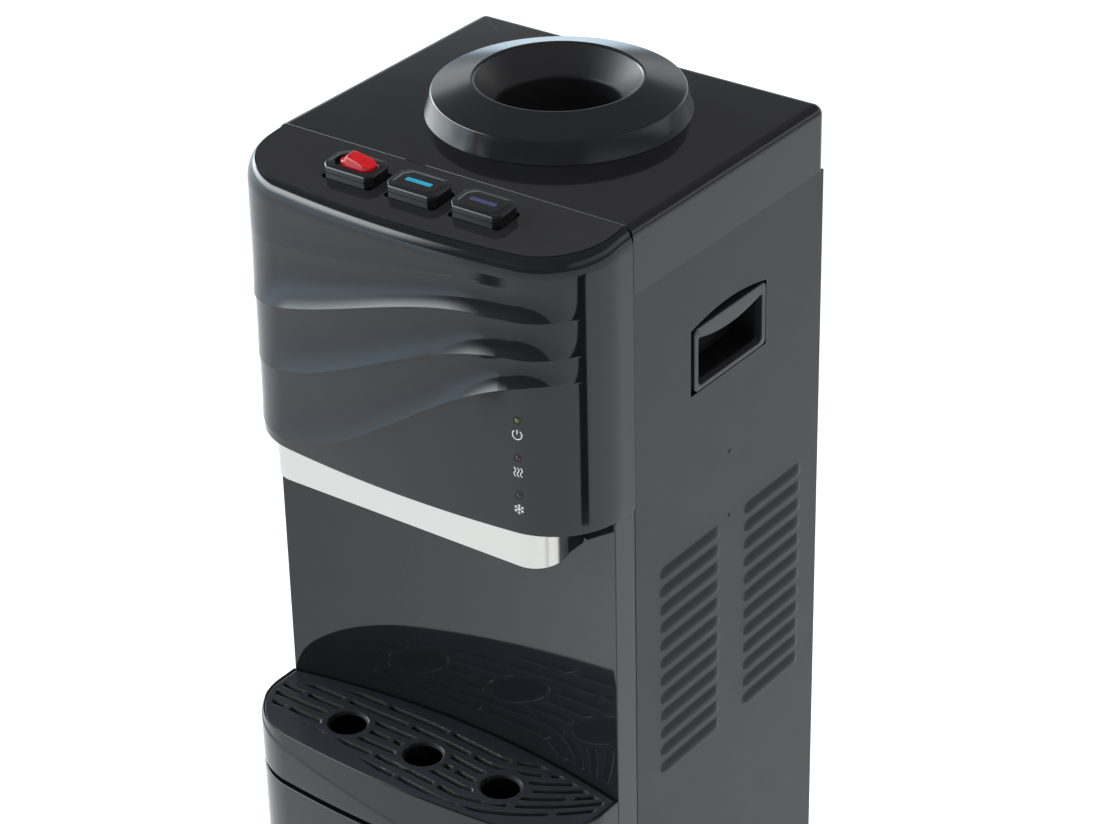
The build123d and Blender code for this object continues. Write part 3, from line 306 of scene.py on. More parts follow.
# Where the tilt starts at the left and how long it grows; where it is last full and where it ends at the right
FADE_LEFT, FADE_LENGTH, FADE_RIGHT, FIRST_FADE = -158, 74, (108, 157), (40, 95)
ROLL_START, LIP_FALL, HEAD_STATIONS, FOOT_EASE, INNER_RIM = 14, 0.6, 361, 0.8, 4


def crest_drop(crest, along):
    """Depth of a crest below the lid: an S-shaped climb from the left depth to the right depth."""
    left, right, middle = crest
    t = np.clip((along - middle) / CREST_SPAN + 0.5, 0, 1)
    return left - (left - right) * (3 * t ** 2 - 2 * t ** 3)


def crest_fade(along, right):
    """Share of its full tilt that a crest has: nothing at both ends, all of it between them."""
    full, end = right
    t = np.clip(np.minimum((along - FADE_LEFT) / FADE_LENGTH, (end - along) / (end - full)), 0, 1)
    return np.sin(t * pi / 2) ** 2


def head_grid():
    """Closed section swept along the bowed front: rows of (inset, level) that follow the roll and the crest lines."""
    end = front_length(HEAD_REACH, -SEAM_GAP)
    along = np.linspace(-end, end, HEAD_STATIONS)
    x, y, out_x, out_y = front_line(along, HEAD_REACH)
    none = 0 * along

    def plane(inset):
        """Level of the sloping deck over the front line moved in by an inset."""
        return TOP + (y - out_y * inset) * DECK_TAN

    rows = [(none + BORDER, plane(BORDER) - WALL), (none + BORDER, plane(BORDER) - LIP_FALL)]
    for turn in np.linspace(radians(ROLL_START), pi / 2, 22):
        inset = ROLL - ROLL * sin(turn)
        rows.append((none + inset, plane(inset) - ROLL_FALL + ROLL_FALL * cos(turn)))
    upper = plane(0) - ROLL_FALL
    for i, (crest, tilt, end_tilt) in enumerate(zip(CRESTS, CREST_TILT, END_TILT)):
        lower = TOP - crest_drop(crest, along)
        fade = crest_fade(along, FADE_RIGHT if i else FIRST_FADE)
        slope = np.tan(np.radians(np.interp(along, TILT_SPAN, (tilt, end_tilt))))
        height = slope * fade * (upper - lower) / CURL
        for t in np.linspace(0, 1, 30)[1:]:
            rows.append((-height * t ** CURL, upper + (lower - upper) * t))
        for out, fall in ((0.9, 0.25), (0.5, 0.55), (0.0, LEDGE)):
            rows.append((-height * out, lower - fall))
        upper = lower - LEDGE
    for t in np.linspace(0, 1, 16)[1:]:
        rows.append((none, upper + (HEAD_BOTTOM + FOOT_EASE - upper) * t))
    rows += [(none + 0.25, none + HEAD_BOTTOM + 0.25), (none + FOOT_EASE, none + HEAD_BOTTOM)]
    rows += [(none + WALL, none + HEAD_BOTTOM), (none + WALL, plane(WALL) - ROLL - INNER_RIM)]
    inner = BORDER + INNER_RIM
    rows += [(none + inner, plane(inner) - 2 * WALL), (none + inner, plane(inner) - WALL), rows[0]]
    return np.stack([np.stack([x - out_x * inset, y - out_y * inset, level], -1) for inset, level in rows])


make_piece("head_wave_front", [head_grid()], head_abs, ("head_fascia",))

# Bottle collar: turned shell with a satin funnel. Radius and height of each corner, then how far each is rounded
COLLAR_Y, FUNNEL_RADIUS = 129, 60.4
collar_line = rounded([(45.5, -44.4), (45.5, 5), (61.4, 26.5), (92.8, 17), (94.6, 9), (97.4, 0.2), (95, 0),
                       (90.5, 14), (61, 23.5), (48, 2), (48, -44.4), (45.5, -44.4)],
                      (2.2, 2.4, 1.3, 7.2, 0.4, 0.6, 2, 2, 2, 0.4), 10)
collar = make_piece("collar_turned", [revolved(collar_line, (0, COLLAR_Y, TOP))], collar_abs, ("bottle_collar",),
                    "bottle_collar")
collar.data.materials.append(funnel_abs)
middles = np.empty(3 * len(collar.data.polygons))
collar.data.polygons.foreach_get("center", middles)
from_axis = np.hypot(middles[0::3], middles[1::3] - SEAM_Y - COLLAR_Y * MM)
collar.data.polygons.foreach_set("material_index", (from_axis < FUNNEL_RADIUS * MM).astype(np.int32))


# Lid: a cap with rolled sides and back, a crisp front edge and the hole of the collar
LID_BOTTOM, LID_BACK, LID_ROLL, LID_HOLE, LID_CORNER, LID_FOOT = 898, 244, 8, 50.4, 0.4, 0.3
# Depth of the front chamfer, its inset as a share of that, points per step of the plan, turns of the roll
LID_EASE, LID_CHAMFER, LID_FINE = 0.9, 0.47, 14
LID_TURNS = (0, 8, 16, 24, 32, 40, 48, 56, 62.6, 68, 74, 80, 85, 90)


def resampled(loop, count):
    """Loop with a number of points spread evenly over its steps."""
    fine = np.linspace(0, len(loop) - 1, count)
    return np.stack([np.interp(fine, np.arange(len(loop)), loop[:, i]) for i in (0, 1)], -1)


def lid_plan(side, front):
    """Loop of the lid's plan, moved in at its sides and back and at its front, with rounder corners at the back."""
    turn = np.linspace(0, pi / 2, 9)
    loop = []
    for q, (sx, back) in enumerate(((1, True), (-1, True), (-1, False), (1, False))):
        radius = max(LID_ROLL - side, LID_CORNER) if back else LID_CORNER
        x = sx * (HALF - side - radius) + radius * np.cos(turn + q * pi / 2)
        y = (LID_BACK - side - radius if back else front + radius) + radius * np.sin(turn + q * pi / 2)
        loop.append(np.stack([x, y], -1))
    loop = np.concatenate(loop + [loop[0][:1]])
    return resampled(loop, LID_FINE * (len(loop) - 1) + 1)


def lid_grid():
    """Rings from the skirt's foot up over the roll to the top, in to the hole, down it, and back inside the shell."""
    rows = [(WALL, WALL, LID_BOTTOM), (LID_FOOT, LID_FOOT, LID_BOTTOM), (0.0, 0.0, LID_BOTTOM + LID_FOOT)]
    for level in TOP - LID_ROLL + LID_ROLL * np.sin(np.radians(LID_TURNS)):
        rise = (level - TOP + LID_ROLL) / LID_ROLL
        crisp = max(level - TOP + LID_EASE, 0) / LID_EASE
        rows.append((LID_ROLL * (1 - np.sqrt(1 - rise ** 2)), LID_CHAMFER * LID_EASE * crisp, level))
    rings = [np.insert(lid_plan(side, front), 2, level, axis=1) for side, front, level in rows]
    toward = rings[-1][:, :2] - (0, COLLAR_Y)
    hole = (0, COLLAR_Y) + LID_HOLE * toward / np.linalg.norm(toward, axis=1)[:, None]
    inner = lid_plan(WALL, WALL)
    rings += [np.insert(plan, 2, level, axis=1) for plan, level in
              ((hole, TOP), (hole, TOP - WALL), (inner, TOP - LID_ROLL), (inner, LID_BOTTOM))]
    return np.stack(rings)


make_piece("lid_cap", [lid_grid()], lid_abs, ("top_lid",))


# Buttons: two-tiered blocks with cut corners, a bevel round the top and a low cushion or, in the hot one, a slot
BUTTON_Y, BUTTON_RISE, CAP_HALF_X, CAP_HALF_Y, CUT_POWER = -34.5, 9.5, 22, 13, 1.12
BUTTON_X = {"hot": -55.5, "cold": 0, "normal": 55.5}


def oblong(half_x, half_y, corner, steps=10, power=2.0):
    """Closed loop of an oblong whose corners are quarters of a superellipse: round at power 2, cut off nearly
    straight when the power is close to 1."""
    turn = np.linspace(0, pi / 2, steps)
    reach = corner * (np.cos(turn) ** power + np.sin(turn) ** power) ** (-1 / power)
    loop = [np.stack([sx * (half_x - corner) + reach * np.cos(turn + q * pi / 2),
                      sy * (half_y - corner) + reach * np.sin(turn + q * pi / 2)], -1)
            for q, (sx, sy) in enumerate(((1, 1), (-1, 1), (-1, -1), (1, -1)))]
    return np.concatenate(loop + [loop[0][:1]])


def on_deck(x, plan, height):
    """Points over the sloping deck: plan offsets from a button's middle, and heights above the deck plane."""
    y = BUTTON_Y + plan[:, 1]
    return np.stack([x + plan[:, 0], y, TOP + y * DECK_TAN + height], -1)


def button_grid(x, rows):
    """Rings of cut oblongs, each given by its insets at the ends and sides, its corner and its height."""
    return np.stack([on_deck(x, oblong(CAP_HALF_X - end, CAP_HALF_Y - side, corner, power=CUT_POWER), height)
                     for end, side, corner, height in rows])


cap_rows = [(2.2, 2.2, 3.4, -11.8), (0, 0, 5.2, -11.8), (0, 0, 5.2, 4.1), (0.4, 0.4, 5.2, 4.2),
            (0.4, 0.4, 5.2, 4.5), (0, 0, 5.2, 4.6), (0, 0, 5.2, 7.8), (0.05, 0.05, 5.2, 8),
            (0.37, 0.37, 5.2, 8.75), (0.5, 0.5, 5.2, 8.92), (0.75, 0.75, 5.3, 9), (1.2, 1.1, 5.3, 9.04),
            (2.6, 1.6, 5.4, 9.06)]
hot_rows = cap_rows + [(3.4, 2.2, 5.4, 9.3)]
cap_rows += [(4.0, 2.4, 5.4, 9.22), (4.5, 2.8, 5.4, 9.4), (5.2, 3.4, 5.2, 9.55), (7.0, 5.0, 4.0, 9.6)]
# Half length, half width and height of each ring
slot_rows = ((17.6, 8.0, 9.4), (17.0, 7.5, 9.0), (17.0, 7.5, 5.9))
inlay_rows = ((11, 2, 8.8), (11, 2, 9.75), (10.85, 1.85, 9.85))
for name in ("cold", "normal"):
    make_piece(name + "_button_cap", [button_grid(BUTTON_X[name], cap_rows)], button_abs, (name + "_button",),
               name + "_button")
slot_rings = [on_deck(BUTTON_X["hot"], oblong(half_x, half_y, half_y - 0.01), height)
              for half_x, half_y, height in slot_rows]
make_piece("hot_button_cap", [np.concatenate([button_grid(BUTTON_X["hot"], hot_rows), np.stack(slot_rings)])],
           button_abs, ("hot_button",), "hot_button")
for name, paint in (("cold", cyan_abs), ("normal", navy_abs)):
    bar = [on_deck(BUTTON_X[name], oblong(half_x, half_y, 0.8, 4), height) for half_x, half_y, height in inlay_rows]
    make_piece(name + "_button_inlay", [np.stack(bar)], paint, (name + "_button_bar",), name + "_button")

# Child lock: red saddle in the slot of the hot button
LOCK_X, LOCK_LENGTH, LOCK_HALF, LOCK_EDGE, LOCK_HUMP, LOCK_FOOT = -53.4, 29, 7, 0.9, 6.2, 6


def lock_grid():
    """Saddle: sections across the slide, each as wide as a rounded plan allows, as high as a hump that climbs
    steeply near the left end and slopes away to the right."""
    u = np.linspace(0, 1, 49)[:, None]
    climb = np.clip((u - 0.10) / 0.20, 0, 1)
    fall = np.clip((u - 0.28) / 0.72, 0, 1)
    height = LOCK_EDGE + LOCK_HUMP * (climb ** 2 * (3 - 2 * climb)) * (1 - fall ** 1.5 * 0.86)
    right = np.sqrt(np.clip(1 - np.clip((u - 0.76) / 0.24, 0, 1) ** 2, 0, 1))
    left = np.sqrt(np.clip(1 - np.clip((0.14 - u) / 0.14, 0, 1) ** 2, 0, 1))
    half = LOCK_HALF * right * left * (0.66 + 0.34 * np.clip((u - 0.08) / 0.2, 0, 1))
    across = np.array([-1, -1, -0.985, -0.93, -0.84, -0.6, -0.3, 0, 0.3, 0.6, 0.84, 0.93, 0.985, 1, 1])[None, :]
    share = np.array([0, 0.72, 0.85, 0.94, 0.985, 1, 1, 1, 1, 1, 0.985, 0.94, 0.85, 0.72, 0])[None, :]
    x = LOCK_X - LOCK_LENGTH / 2 + LOCK_LENGTH * u + 0 * across
    taper = 1 - 0.055 * height * share ** 2
    y = BUTTON_Y + half * across * taper
    z = TOP + y * DECK_TAN + LOCK_FOOT + (BUTTON_RISE - LOCK_FOOT + height) * share
    return np.stack([x, y, z], -1)


make_piece("lock_saddle", [lock_grid()], red_abs, ("child_lock_slide",), "child_lock", sharp=60.0)

# Return springs: a coil under each button
SPRING_LOW, SPRING_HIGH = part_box("return_springs")
SPRING_RADIUS, SPRING_WIRE, SPRING_TURNS, BUTTON_TRAVEL = 5.6, 0.6, 6, 4


def spring_grid(x):
    """Round wire wound in a helix: circles of the wire's radius along turns that climb evenly."""
    t = np.linspace(0, 1, 24 * SPRING_TURNS + 1)[:, None]
    a = np.linspace(0, 2 * pi, 9)[None, :]
    turn, radius = 2 * pi * SPRING_TURNS * t, SPRING_RADIUS + SPRING_WIRE * np.cos(a)
    climb = (SPRING_HIGH.z - SPRING_LOW.z) / MM - 2 * SPRING_WIRE
    z = SPRING_LOW.z / MM + SPRING_WIRE + climb * t + SPRING_WIRE * np.sin(a)
    return np.stack([x + radius * np.cos(turn), BUTTON_Y + radius * np.sin(turn), z], -1)


for name, x in BUTTON_X.items():
    coil = make_piece(name + "_return_spring", [spring_grid(x)], bright_steel,
                      ("return_springs",) if name == "hot" else ())
    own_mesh(coil)

# Alcove panel: a smooth hollow sheet with returns at both sides
HOLLOW_Y, HOLLOW_ARC, ALCOVE_SKIN, ALCOVE_LEVELS = -682.4, 676.4, 3, (450, 729.6)
ALCOVE_HALF, ALCOVE_SIDE, ALCOVE_REAR = 153.4, 154.2, 151.2


def hollow(x, radius):
    """Y of the alcove's hollow: an arc of a given radius about a point far before the front."""
    return HOLLOW_Y + np.sqrt(radius ** 2 - x ** 2)


bend = np.linspace(-1, 1, 121)
face, rear = (np.stack([half * bend, hollow(half * bend, radius)], -1) for half, radius in
              ((ALCOVE_HALF, HOLLOW_ARC), (ALCOVE_REAR, HOLLOW_ARC + ALCOVE_SKIN)))
face_end = face[-1, 1]
side_line = rounded([(ALCOVE_HALF, face_end), (ALCOVE_SIDE, face_end + 0.2), (ALCOVE_SIDE, -SEAM_GAP)], (0.6,), 4)
panel_plan = np.concatenate([side_line[::-1] * (-1, 1), face, side_line, [(ALCOVE_REAR, -SEAM_GAP)], rear[::-1],
                             [(-ALCOVE_REAR, -SEAM_GAP), (-ALCOVE_SIDE, -SEAM_GAP)]])
panel_rings = [np.insert(panel_plan, 2, level, axis=1) for level in ALCOVE_LEVELS]
make_piece("alcove_sheet", [np.stack(panel_rings)], alcove_abs, ("alcove_panel",))


# Drip tray: bowed apron with a slanting crease, thin rim, sunken floor
TRAY_TOP, TRAY_BOTTOM, TRAY_END, TRAY_GAP, TRAY_EASE = 492, 450, -24.4, 0.4, 0.8
CREASE_RUN, RIDGE_TALL, STEP_RUN, STEP_SLOPE = (-168, 60), 2.2, (-90, -40), (0.42, 0.21)
APRON_LEAN, LEAN_LEFT, LEAN_RIGHT, LEAN_FADE, RIM_BACK = 0.07, -172, 185, 40, 1.9
BACK_MARK = 1000


def tray_loop():
    """Closed plan of the tray, the bowed front and then the alcove's hollow; and each point's length along the front,
    or a mark at the back."""
    end = front_length(BASE_REACH, TRAY_END)
    along = np.linspace(-end, end, 241)
    x, y = front_line(along, BASE_REACH)[:2]
    back_x = np.linspace(x[-1], x[0], 61)[1:-1]
    back_y = hollow(back_x, HOLLOW_ARC) - TRAY_GAP
    loop = np.stack([np.concatenate([x, back_x]), np.concatenate([y, back_y])], -1)
    return loop, np.concatenate([along, 0 * back_x + BACK_MARK])


def inset_loop(loop, inset):
    """Loop moved inwards by a mitred offset: the mean of the two edge normals, lengthened by their angle."""
    edge = np.roll(loop, -1, 0) - loop
    normal = np.stack([edge[:, 1], -edge[:, 0]], -1) / np.linalg.norm(edge, axis=1)[:, None]
    before = np.roll(normal, 1, 0)
    mitre = (normal + before) / (1 + np.sum(normal * before, 1))[:, None]
    return loop - mitre * np.reshape(inset, (-1, 1))


def tray_grid():
    """Rings of the tray plan, each with an inset and a level: up to the crease, over the ridge that steps back above
    it, up the leaning apron, over the rim and down inside."""
    loop, along = tray_loop()
    base, brow = TRAY_BOTTOM + TRAY_EASE, TRAY_TOP - 1.3
    crease = np.maximum(np.interp(along, CREASE_RUN, (TRAY_TOP - 1.5, TRAY_BOTTOM)), base + 1)
    lean = np.where(along < BACK_MARK, APRON_LEAN, 0.0) * np.clip((along - LEAN_LEFT) / LEAN_FADE, 0, 1)
    lean = lean * np.clip((LEAN_RIGHT - along) / LEAN_FADE, 0, 1)
    ridge = np.minimum(crease + RIDGE_TALL, brow)
    step = np.interp(along, STEP_RUN, STEP_SLOPE) * (ridge - crease)
    back = np.minimum(lean * (brow - ridge), RIM_BACK - step)
    rim = step + back
    rows = [(TRAY_EASE, TRAY_BOTTOM), (0.2, TRAY_BOTTOM + 0.2), (0.0, base)]
    rows += [(0.0, base + (crease - base) * t) for t in (0.25, 0.5, 0.75, 0.9, 1.0)]
    rows += [(t * step, crease + t * (ridge - crease)) for t in (0.2, 0.9)] + [(step, ridge)]
    rows += [(step + back * t, ridge + (brow - ridge) * t) for t in (0.1, 0.2, 0.4, 0.6, 0.8, 1.0)]
    rows += [(rim + 0.05, brow + 0.1), (rim + 0.48, TRAY_TOP - 0.12), (rim + 0.62, TRAY_TOP), (2.55, TRAY_TOP),
             (2.65, TRAY_TOP - 0.3), (2.65, TRAY_TOP - 3.2), (5.0, TRAY_TOP - 3.2), (5.0, TRAY_BOTTOM + 3)]
    rings = [np.insert(inset_loop(loop, inset), 2, level, axis=1) for inset, level in rows]
    return np.stack([np.concatenate([ring, ring[:1]]) for ring in rings])


make_piece("tray_apron", [tray_grid()], tray_abs, ("drip_tray",), "drip_tray", sharp=30.0)


# Drip grille: plate with rows of rippled slots and three cup rings, all cut right through
RING_X, RING_Y, RING_RADIUS = (-72.7, 0, 72.7), -58.5, 16
SLOT_ROWS, SLOT_WIDTH, SLOT_FALL, SLOT_BACK, SLOT_PITCH = 7, 5.2, 2.8, -24, 11.2
BRIDGE_PITCH, BRIDGE_HALF, EDGE_MARGIN, RING_MARGIN = 62, 2.5, 5.5, 5
GRILLE_HALF, GRILLE_THICK, GRILLE_INSET, GRILLE_END = 152, 3, 2.8, -24
GRILLE_ARC, GRILLE_GRID = 673.2, (250, 204)
# How deep inside an opening the top has fallen, and where cells are left out
FALL_DEPTH, OPEN_DEPTH = 1.7, 1.8


def slot_line(row, x):
    """Middle of a row of slots: nearly straight at the left, bent forwards by up to 6 mm past the middle, and swept
    back along a parabola at the right."""
    forwards = 6.0 * np.clip((x + 40) / 90, 0, 1) ** 2
    return SLOT_BACK - SLOT_PITCH * row - forwards + np.maximum(x - 42, 0) ** 2 / 205


def grille_depth(x, y, edge):
    """How far inside a slot or a cup ring each point lies, negative on the plate. Slots end at the bridges, near the
    edge and the rings, and at a line before and a line behind the rows."""
    ring = np.max([RING_RADIUS - np.hypot(x - cup, y - RING_Y) for cup in RING_X], 0)
    slots = []
    for row in range(SLOT_ROWS):
        lean = np.cos(np.arctan(np.gradient(slot_line(row, x[:, 0]), x[:, 0])))[:, None]
        inside = SLOT_WIDTH / 2 - np.abs(y - slot_line(row, x)) * lean
        bridge = np.min([np.abs(x - (i + row % 2 / 2) * BRIDGE_PITCH) for i in range(-2, 3)], 0) - BRIDGE_HALF
        slots.append(np.minimum(inside, bridge))
    ahead = y - np.interp(x, (-150, -61, -37, 30, 60), (-76, -81, -90, -104, -120))
    behind = np.interp(x, (-150, -115, -75, -20), (-44, -28, -18, 0)) - y
    slot = np.min([np.max(slots, 0), edge - EDGE_MARGIN, -ring - RING_MARGIN, ahead, behind], 0)
    return np.maximum(slot, ring)


def grille_mesh():
    """Plate between the bowed front and the hollow back on a grid; the top falls away into each opening, and cells
    that lie well inside an opening are left out of the top and the bottom, with walls between the two. Also returns
    which faces get painted shade: the walls and the top's faces that fall into an opening."""
    x = np.linspace(-GRILLE_HALF, GRILLE_HALF, GRILLE_GRID[0])
    end = front_length(BASE_REACH, GRILLE_END)
    line = np.linspace(-end, end, 2001)
    line_x, line_y, out_x, out_y = front_line(line, BASE_REACH)
    line_x, line_y = line_x - GRILLE_INSET * out_x, line_y - GRILLE_INSET * out_y
    rising = np.concatenate([[True], np.diff(line_x) > 1e-6])
    front_y = np.interp(x, line_x[rising], line_y[rising])
    back_y = hollow(x, GRILLE_ARC)
    share = np.linspace(0, 1, GRILLE_GRID[1])[None, :]
    grid_x, grid_y = x[:, None] + 0 * share, front_y[:, None] + (back_y - front_y)[:, None] * share
    steep = np.cos(np.arctan(np.gradient(front_y, x)))[:, None]
    edge = np.min([(grid_y - front_y[:, None]) * steep, back_y[:, None] - grid_y, GRILLE_HALF - np.abs(grid_x)], 0)
    depth = grille_depth(grid_x, grid_y, edge)
    t = np.clip(depth / FALL_DEPTH, 0, 1)
    fall = SLOT_FALL * t ** 1.3 + 0.5 * np.clip(1 - edge / 0.5, 0, 1) ** 2
    top = np.stack([grid_x, grid_y, TRAY_TOP - fall], -1)
    low = np.stack([grid_x, grid_y, TRAY_TOP - GRILLE_THICK + 0 * fall], -1)
    kept = cells(depth).mean(-1) < OPEN_DEPTH
    index = np.arange(grid_x.size).reshape(grid_x.shape)
    under = index + grid_x.size
    top_quads, low_quads = cells(index)[kept], cells(under)[kept][:, [0, 3, 2, 1]]
    framed = np.pad(kept, 1)
    across = framed[:-1, 1:-1] != framed[1:, 1:-1]
    down = framed[1:-1, :-1] != framed[1:-1, 1:]
    wall_x = np.stack([index[:, :-1], index[:, 1:], under[:, 1:], under[:, :-1]], -1)[across]
    wall_y = np.stack([index[:-1, :], index[1:, :], under[1:, :], under[:-1, :]], -1)[down]
    points = np.concatenate([top.reshape(-1, 3), low.reshape(-1, 3)])
    falling = cells(t)[kept].sum(-1) > 1.0
    # Painted shade on the top's falling faces and on all walls, none on the bottom
    dark = np.concatenate([falling, np.zeros(len(low_quads), bool), np.ones(len(wall_x) + len(wall_y), bool)])
    return points, np.concatenate([top_quads, low_quads, wall_x, wall_y]), dark


def loose_mesh(name, points, faces, thickness=0.0):
    """Mesh from points in drawn millimetres and faces between them, without unused points; a sheet is thickened
    inwards."""
    mesh = bpy.data.meshes.new(name)
    mesh.from_pydata((points * MM + np.array([0, SEAM_Y, 0])).tolist(), [], faces.tolist())
    shape = bmesh.new()
    shape.from_mesh(mesh)
    bmesh.ops.delete(shape, geom=[v for v in shape.verts if not v.link_faces], context="VERTS")
    if thickness:
        bmesh.ops.solidify(shape, geom=shape.faces, thickness=thickness * MM)
    bmesh.ops.recalc_face_normals(shape, faces=shape.faces)
    shape.to_mesh(mesh)
    shape.free()
    return mesh


grille_points, grille_faces, slot_shade_faces = grille_mesh()
grille = place_piece("grille_plate", loose_mesh("grille_plate", grille_points, grille_faces), grille_abs,
                     ("drip_grille",), "drip_grille")
# Walls of the openings and the faces falling into them in near black: painted shade in the slots and cup rings
grille.data.materials.append(black_abs_and_painted_shade)
grille.data.polygons.foreach_set("material_index", slot_shade_faces.astype(np.int32))

# Deck and tap housing: the solids with eased edges
eased("control_deck", 0.9, deck_abs)
eased("tap_housing", 0.6, head_abs)

# Door: the bowed front closed by a flat back, with a knuckle at the hinge
DOOR_BOTTOM, DOOR_TOP, DOOR_BACK, DOOR_EASE = 60.6, 445.4, -70.6, 1.6
DOOR_ENDS, HINGE, KNUCKLE = (-154.6, 158.9), (-139, -79), 8.4


def door_grid():
    """Rings of the door's plan from its foot to its head: the bowed front, the flat back and part of the knuckle's
    circle; the front moves in along quarter circles at both ends."""
    x, y, out_x, out_y = front_line(np.linspace(*DOOR_ENDS, 141), BASE_REACH)
    turn = np.radians(np.linspace(90, 140, 9))
    back_x = np.concatenate([np.linspace(x[-1] - 2, HINGE[0] + 2, 20), HINGE[0] + KNUCKLE * np.cos(turn)])
    back_y = np.concatenate([np.full(20, DOOR_BACK), HINGE[1] + KNUCKLE * np.sin(turn)])
    bend = np.radians(np.linspace(0, 90, 7))
    ends = [(DOOR_EASE * (1 - np.sin(b)), DOOR_EASE * (1 - np.cos(b))) for b in bend]
    rows = [(inset, DOOR_BOTTOM + rise) for inset, rise in ends]
    rows += [(inset, DOOR_TOP - rise) for inset, rise in ends[::-1]]
    rings = []
    for inset, level in rows:
        ring_x, ring_y = np.concatenate([x - out_x * inset, back_x]), np.concatenate([y - out_y * inset, back_y])
        ring = np.stack([ring_x, ring_y, np.full(len(ring_x), level)], -1)
        rings.append(np.concatenate([ring, ring[:1]]))
    return np.stack(rings)


make_piece("door_block", [door_grid()], head_abs, ("door_shell",), "cabinet_door")

# Side panels: a sheet with an arched opening and slots, and a hood over each slot that opens downwards
PANEL_X, PANEL_BOTTOM, PANEL_HEAD, PANEL_FRONT, PANEL_BACK = 154.2, 18, 897.6, 0.4, 243.2
HOLD_Y, HOLD_Z, HOLD_HALF, HOLD_TALL = 121, 813, 46, 25.5
ARCH_RISE, ARCH_TOP, SHEET, HOLD_FINE = 6.5, 870, 0.8, 12
LOUVRE_Y, LOUVRE_TOP, LOUVRE_PITCH, LOUVRE_COUNT = (70, 180.5), 659, 15.5, 12
LOUVRES = [(y, LOUVRE_TOP - LOUVRE_PITCH * i) for y in LOUVRE_Y for i in range(LOUVRE_COUNT)]
HOOD_LENGTH, HOOD_TALL, HOOD_OUT, HOOD_SKIN, HOOD_LIP = 77, 9.5, 3.2, 0.9, 0.93


def hood_grid(side, y, z):
    """Hood: leaves the sheet along its top edge, swells outwards, turns in at its lip and comes back as a thin
    skin."""
    u = np.linspace(-1, 1, 41)[None, :]
    v = np.concatenate([np.linspace(0, HOOD_LIP, 14), [0.97, 0.995, 1.0, 1.0], np.linspace(0.97, 0, 12)])[:, None]
    skin = np.concatenate([np.zeros(14), [0.04, 0.2, 0.5, HOOD_SKIN], np.full(12, HOOD_SKIN)])[:, None]
    swell = np.sin(np.minimum(v / HOOD_LIP, 1) * pi / 2) ** 1.4 * (1 - np.abs(u) ** 12)
    x = PANEL_X - 0.2 + HOOD_OUT * swell - skin
    return np.stack([side * x, y + u * HOOD_LENGTH / 2 + 0 * v, z + HOOD_TALL / 2 - HOOD_TALL * v + 0 * u], -1)


def sheet_mesh(side):
    """Folded sheet with a flange at its front. Its grid has lines through every opening, without the cells inside
    them, and the lines over the hand hold arch upwards."""
    slots = [(y - 37, y + 37, z - 4.6, z + 1.5) for y, z in LOUVRES]
    holes = slots + [(HOLD_Y - HOLD_HALF - 4.6, HOLD_Y + HOLD_HALF + 0.8,
                      HOLD_Z - HOLD_TALL - 0.8, HOLD_Z + HOLD_TALL + 0.8)]
    y = np.unique(np.concatenate([[PANEL_FRONT + 1, PANEL_BACK], [h[0] for h in holes], [h[1] for h in holes],
                                  np.linspace(holes[-1][0], holes[-1][1], 25)]))
    z = np.unique([PANEL_BOTTOM, PANEL_HEAD, ARCH_TOP] + [h[2] for h in holes] + [h[3] for h in holes])
    fold = np.array([(-15.0, 0.0), (-1.0, 0.0), (-0.3, 0.3)])
    run_x = PANEL_X + np.concatenate([fold[:, 0], 0 * y])
    run_y = np.concatenate([PANEL_FRONT + fold[:, 1], y])
    grid_y, grid_z = np.meshgrid(run_y, z, indexing="ij")
    arch = ARCH_RISE * np.clip(1 - ((grid_y - HOLD_Y + 2) / (HOLD_HALF + 2.7)) ** 2, 0, 1)
    shown = np.interp(grid_z, (HOLD_Z, HOLD_Z + HOLD_TALL, ARCH_TOP), (0, 1, 0))
    points = np.stack([side * run_x[:, None] + 0 * grid_y, grid_y, grid_z + arch * shown], -1)
    flat = np.concatenate([[False] * 3, y[:-1] < y[1:]])[:, None]
    middle_y, middle_z = (run_y[:-1] + run_y[1:])[:, None] / 2, (z[:-1] + z[1:])[None, :] / 2
    solid = np.ones((len(run_y) - 1, len(z) - 1), bool)
    for y0, y1, z0, z1 in holes:
        solid &= ~(flat & (middle_y > y0) & (middle_y < y1) & (middle_z > z0) & (middle_z < z1))
    index = np.arange(grid_y.size).reshape(grid_y.shape)
    return points.reshape(-1, 3), cells(index)[solid][:, ::side]


def side_panel(name, side, node):
    """Sheet with its openings given a thickness, and all its hoods as a second piece."""
    mesh = loose_mesh(name, *sheet_mesh(side), thickness=SHEET)
    place_piece(name, mesh, coated_steel, (node,))
    make_piece(name + "_louvres", [hood_grid(side, y, z) for y, z in LOUVRES], coated_steel)


side_panel("right_sheet", 1, "right_side_panel")
side_panel("left_sheet", -1, "left_side_panel")


def hold_grid(side, rows):
    """Rings of an oblong: each has insets at the ends and above and below, a corner, a sag of its upper edge in the
    middle, and a depth behind the panel."""
    rings = []
    for end, edge, corner, sag, depth in rows:
        loop = oblong(HOLD_HALF - end, HOLD_TALL - edge, corner, 12)
        loop = resampled(loop, HOLD_FINE * len(loop))
        upper = np.clip(loop[:, 1] / (HOLD_TALL - edge), 0, 1) ** 3
        dip = upper * (sag * (1 - (loop[:, 0] / HOLD_HALF) ** 2) + 0.35 * sag)
        x = side * (PANEL_X - depth + 0 * dip)
        rings.append(np.stack([x, HOLD_Y + loop[:, 0], HOLD_Z + loop[:, 1] - dip], -1))
    return np.stack(rings)


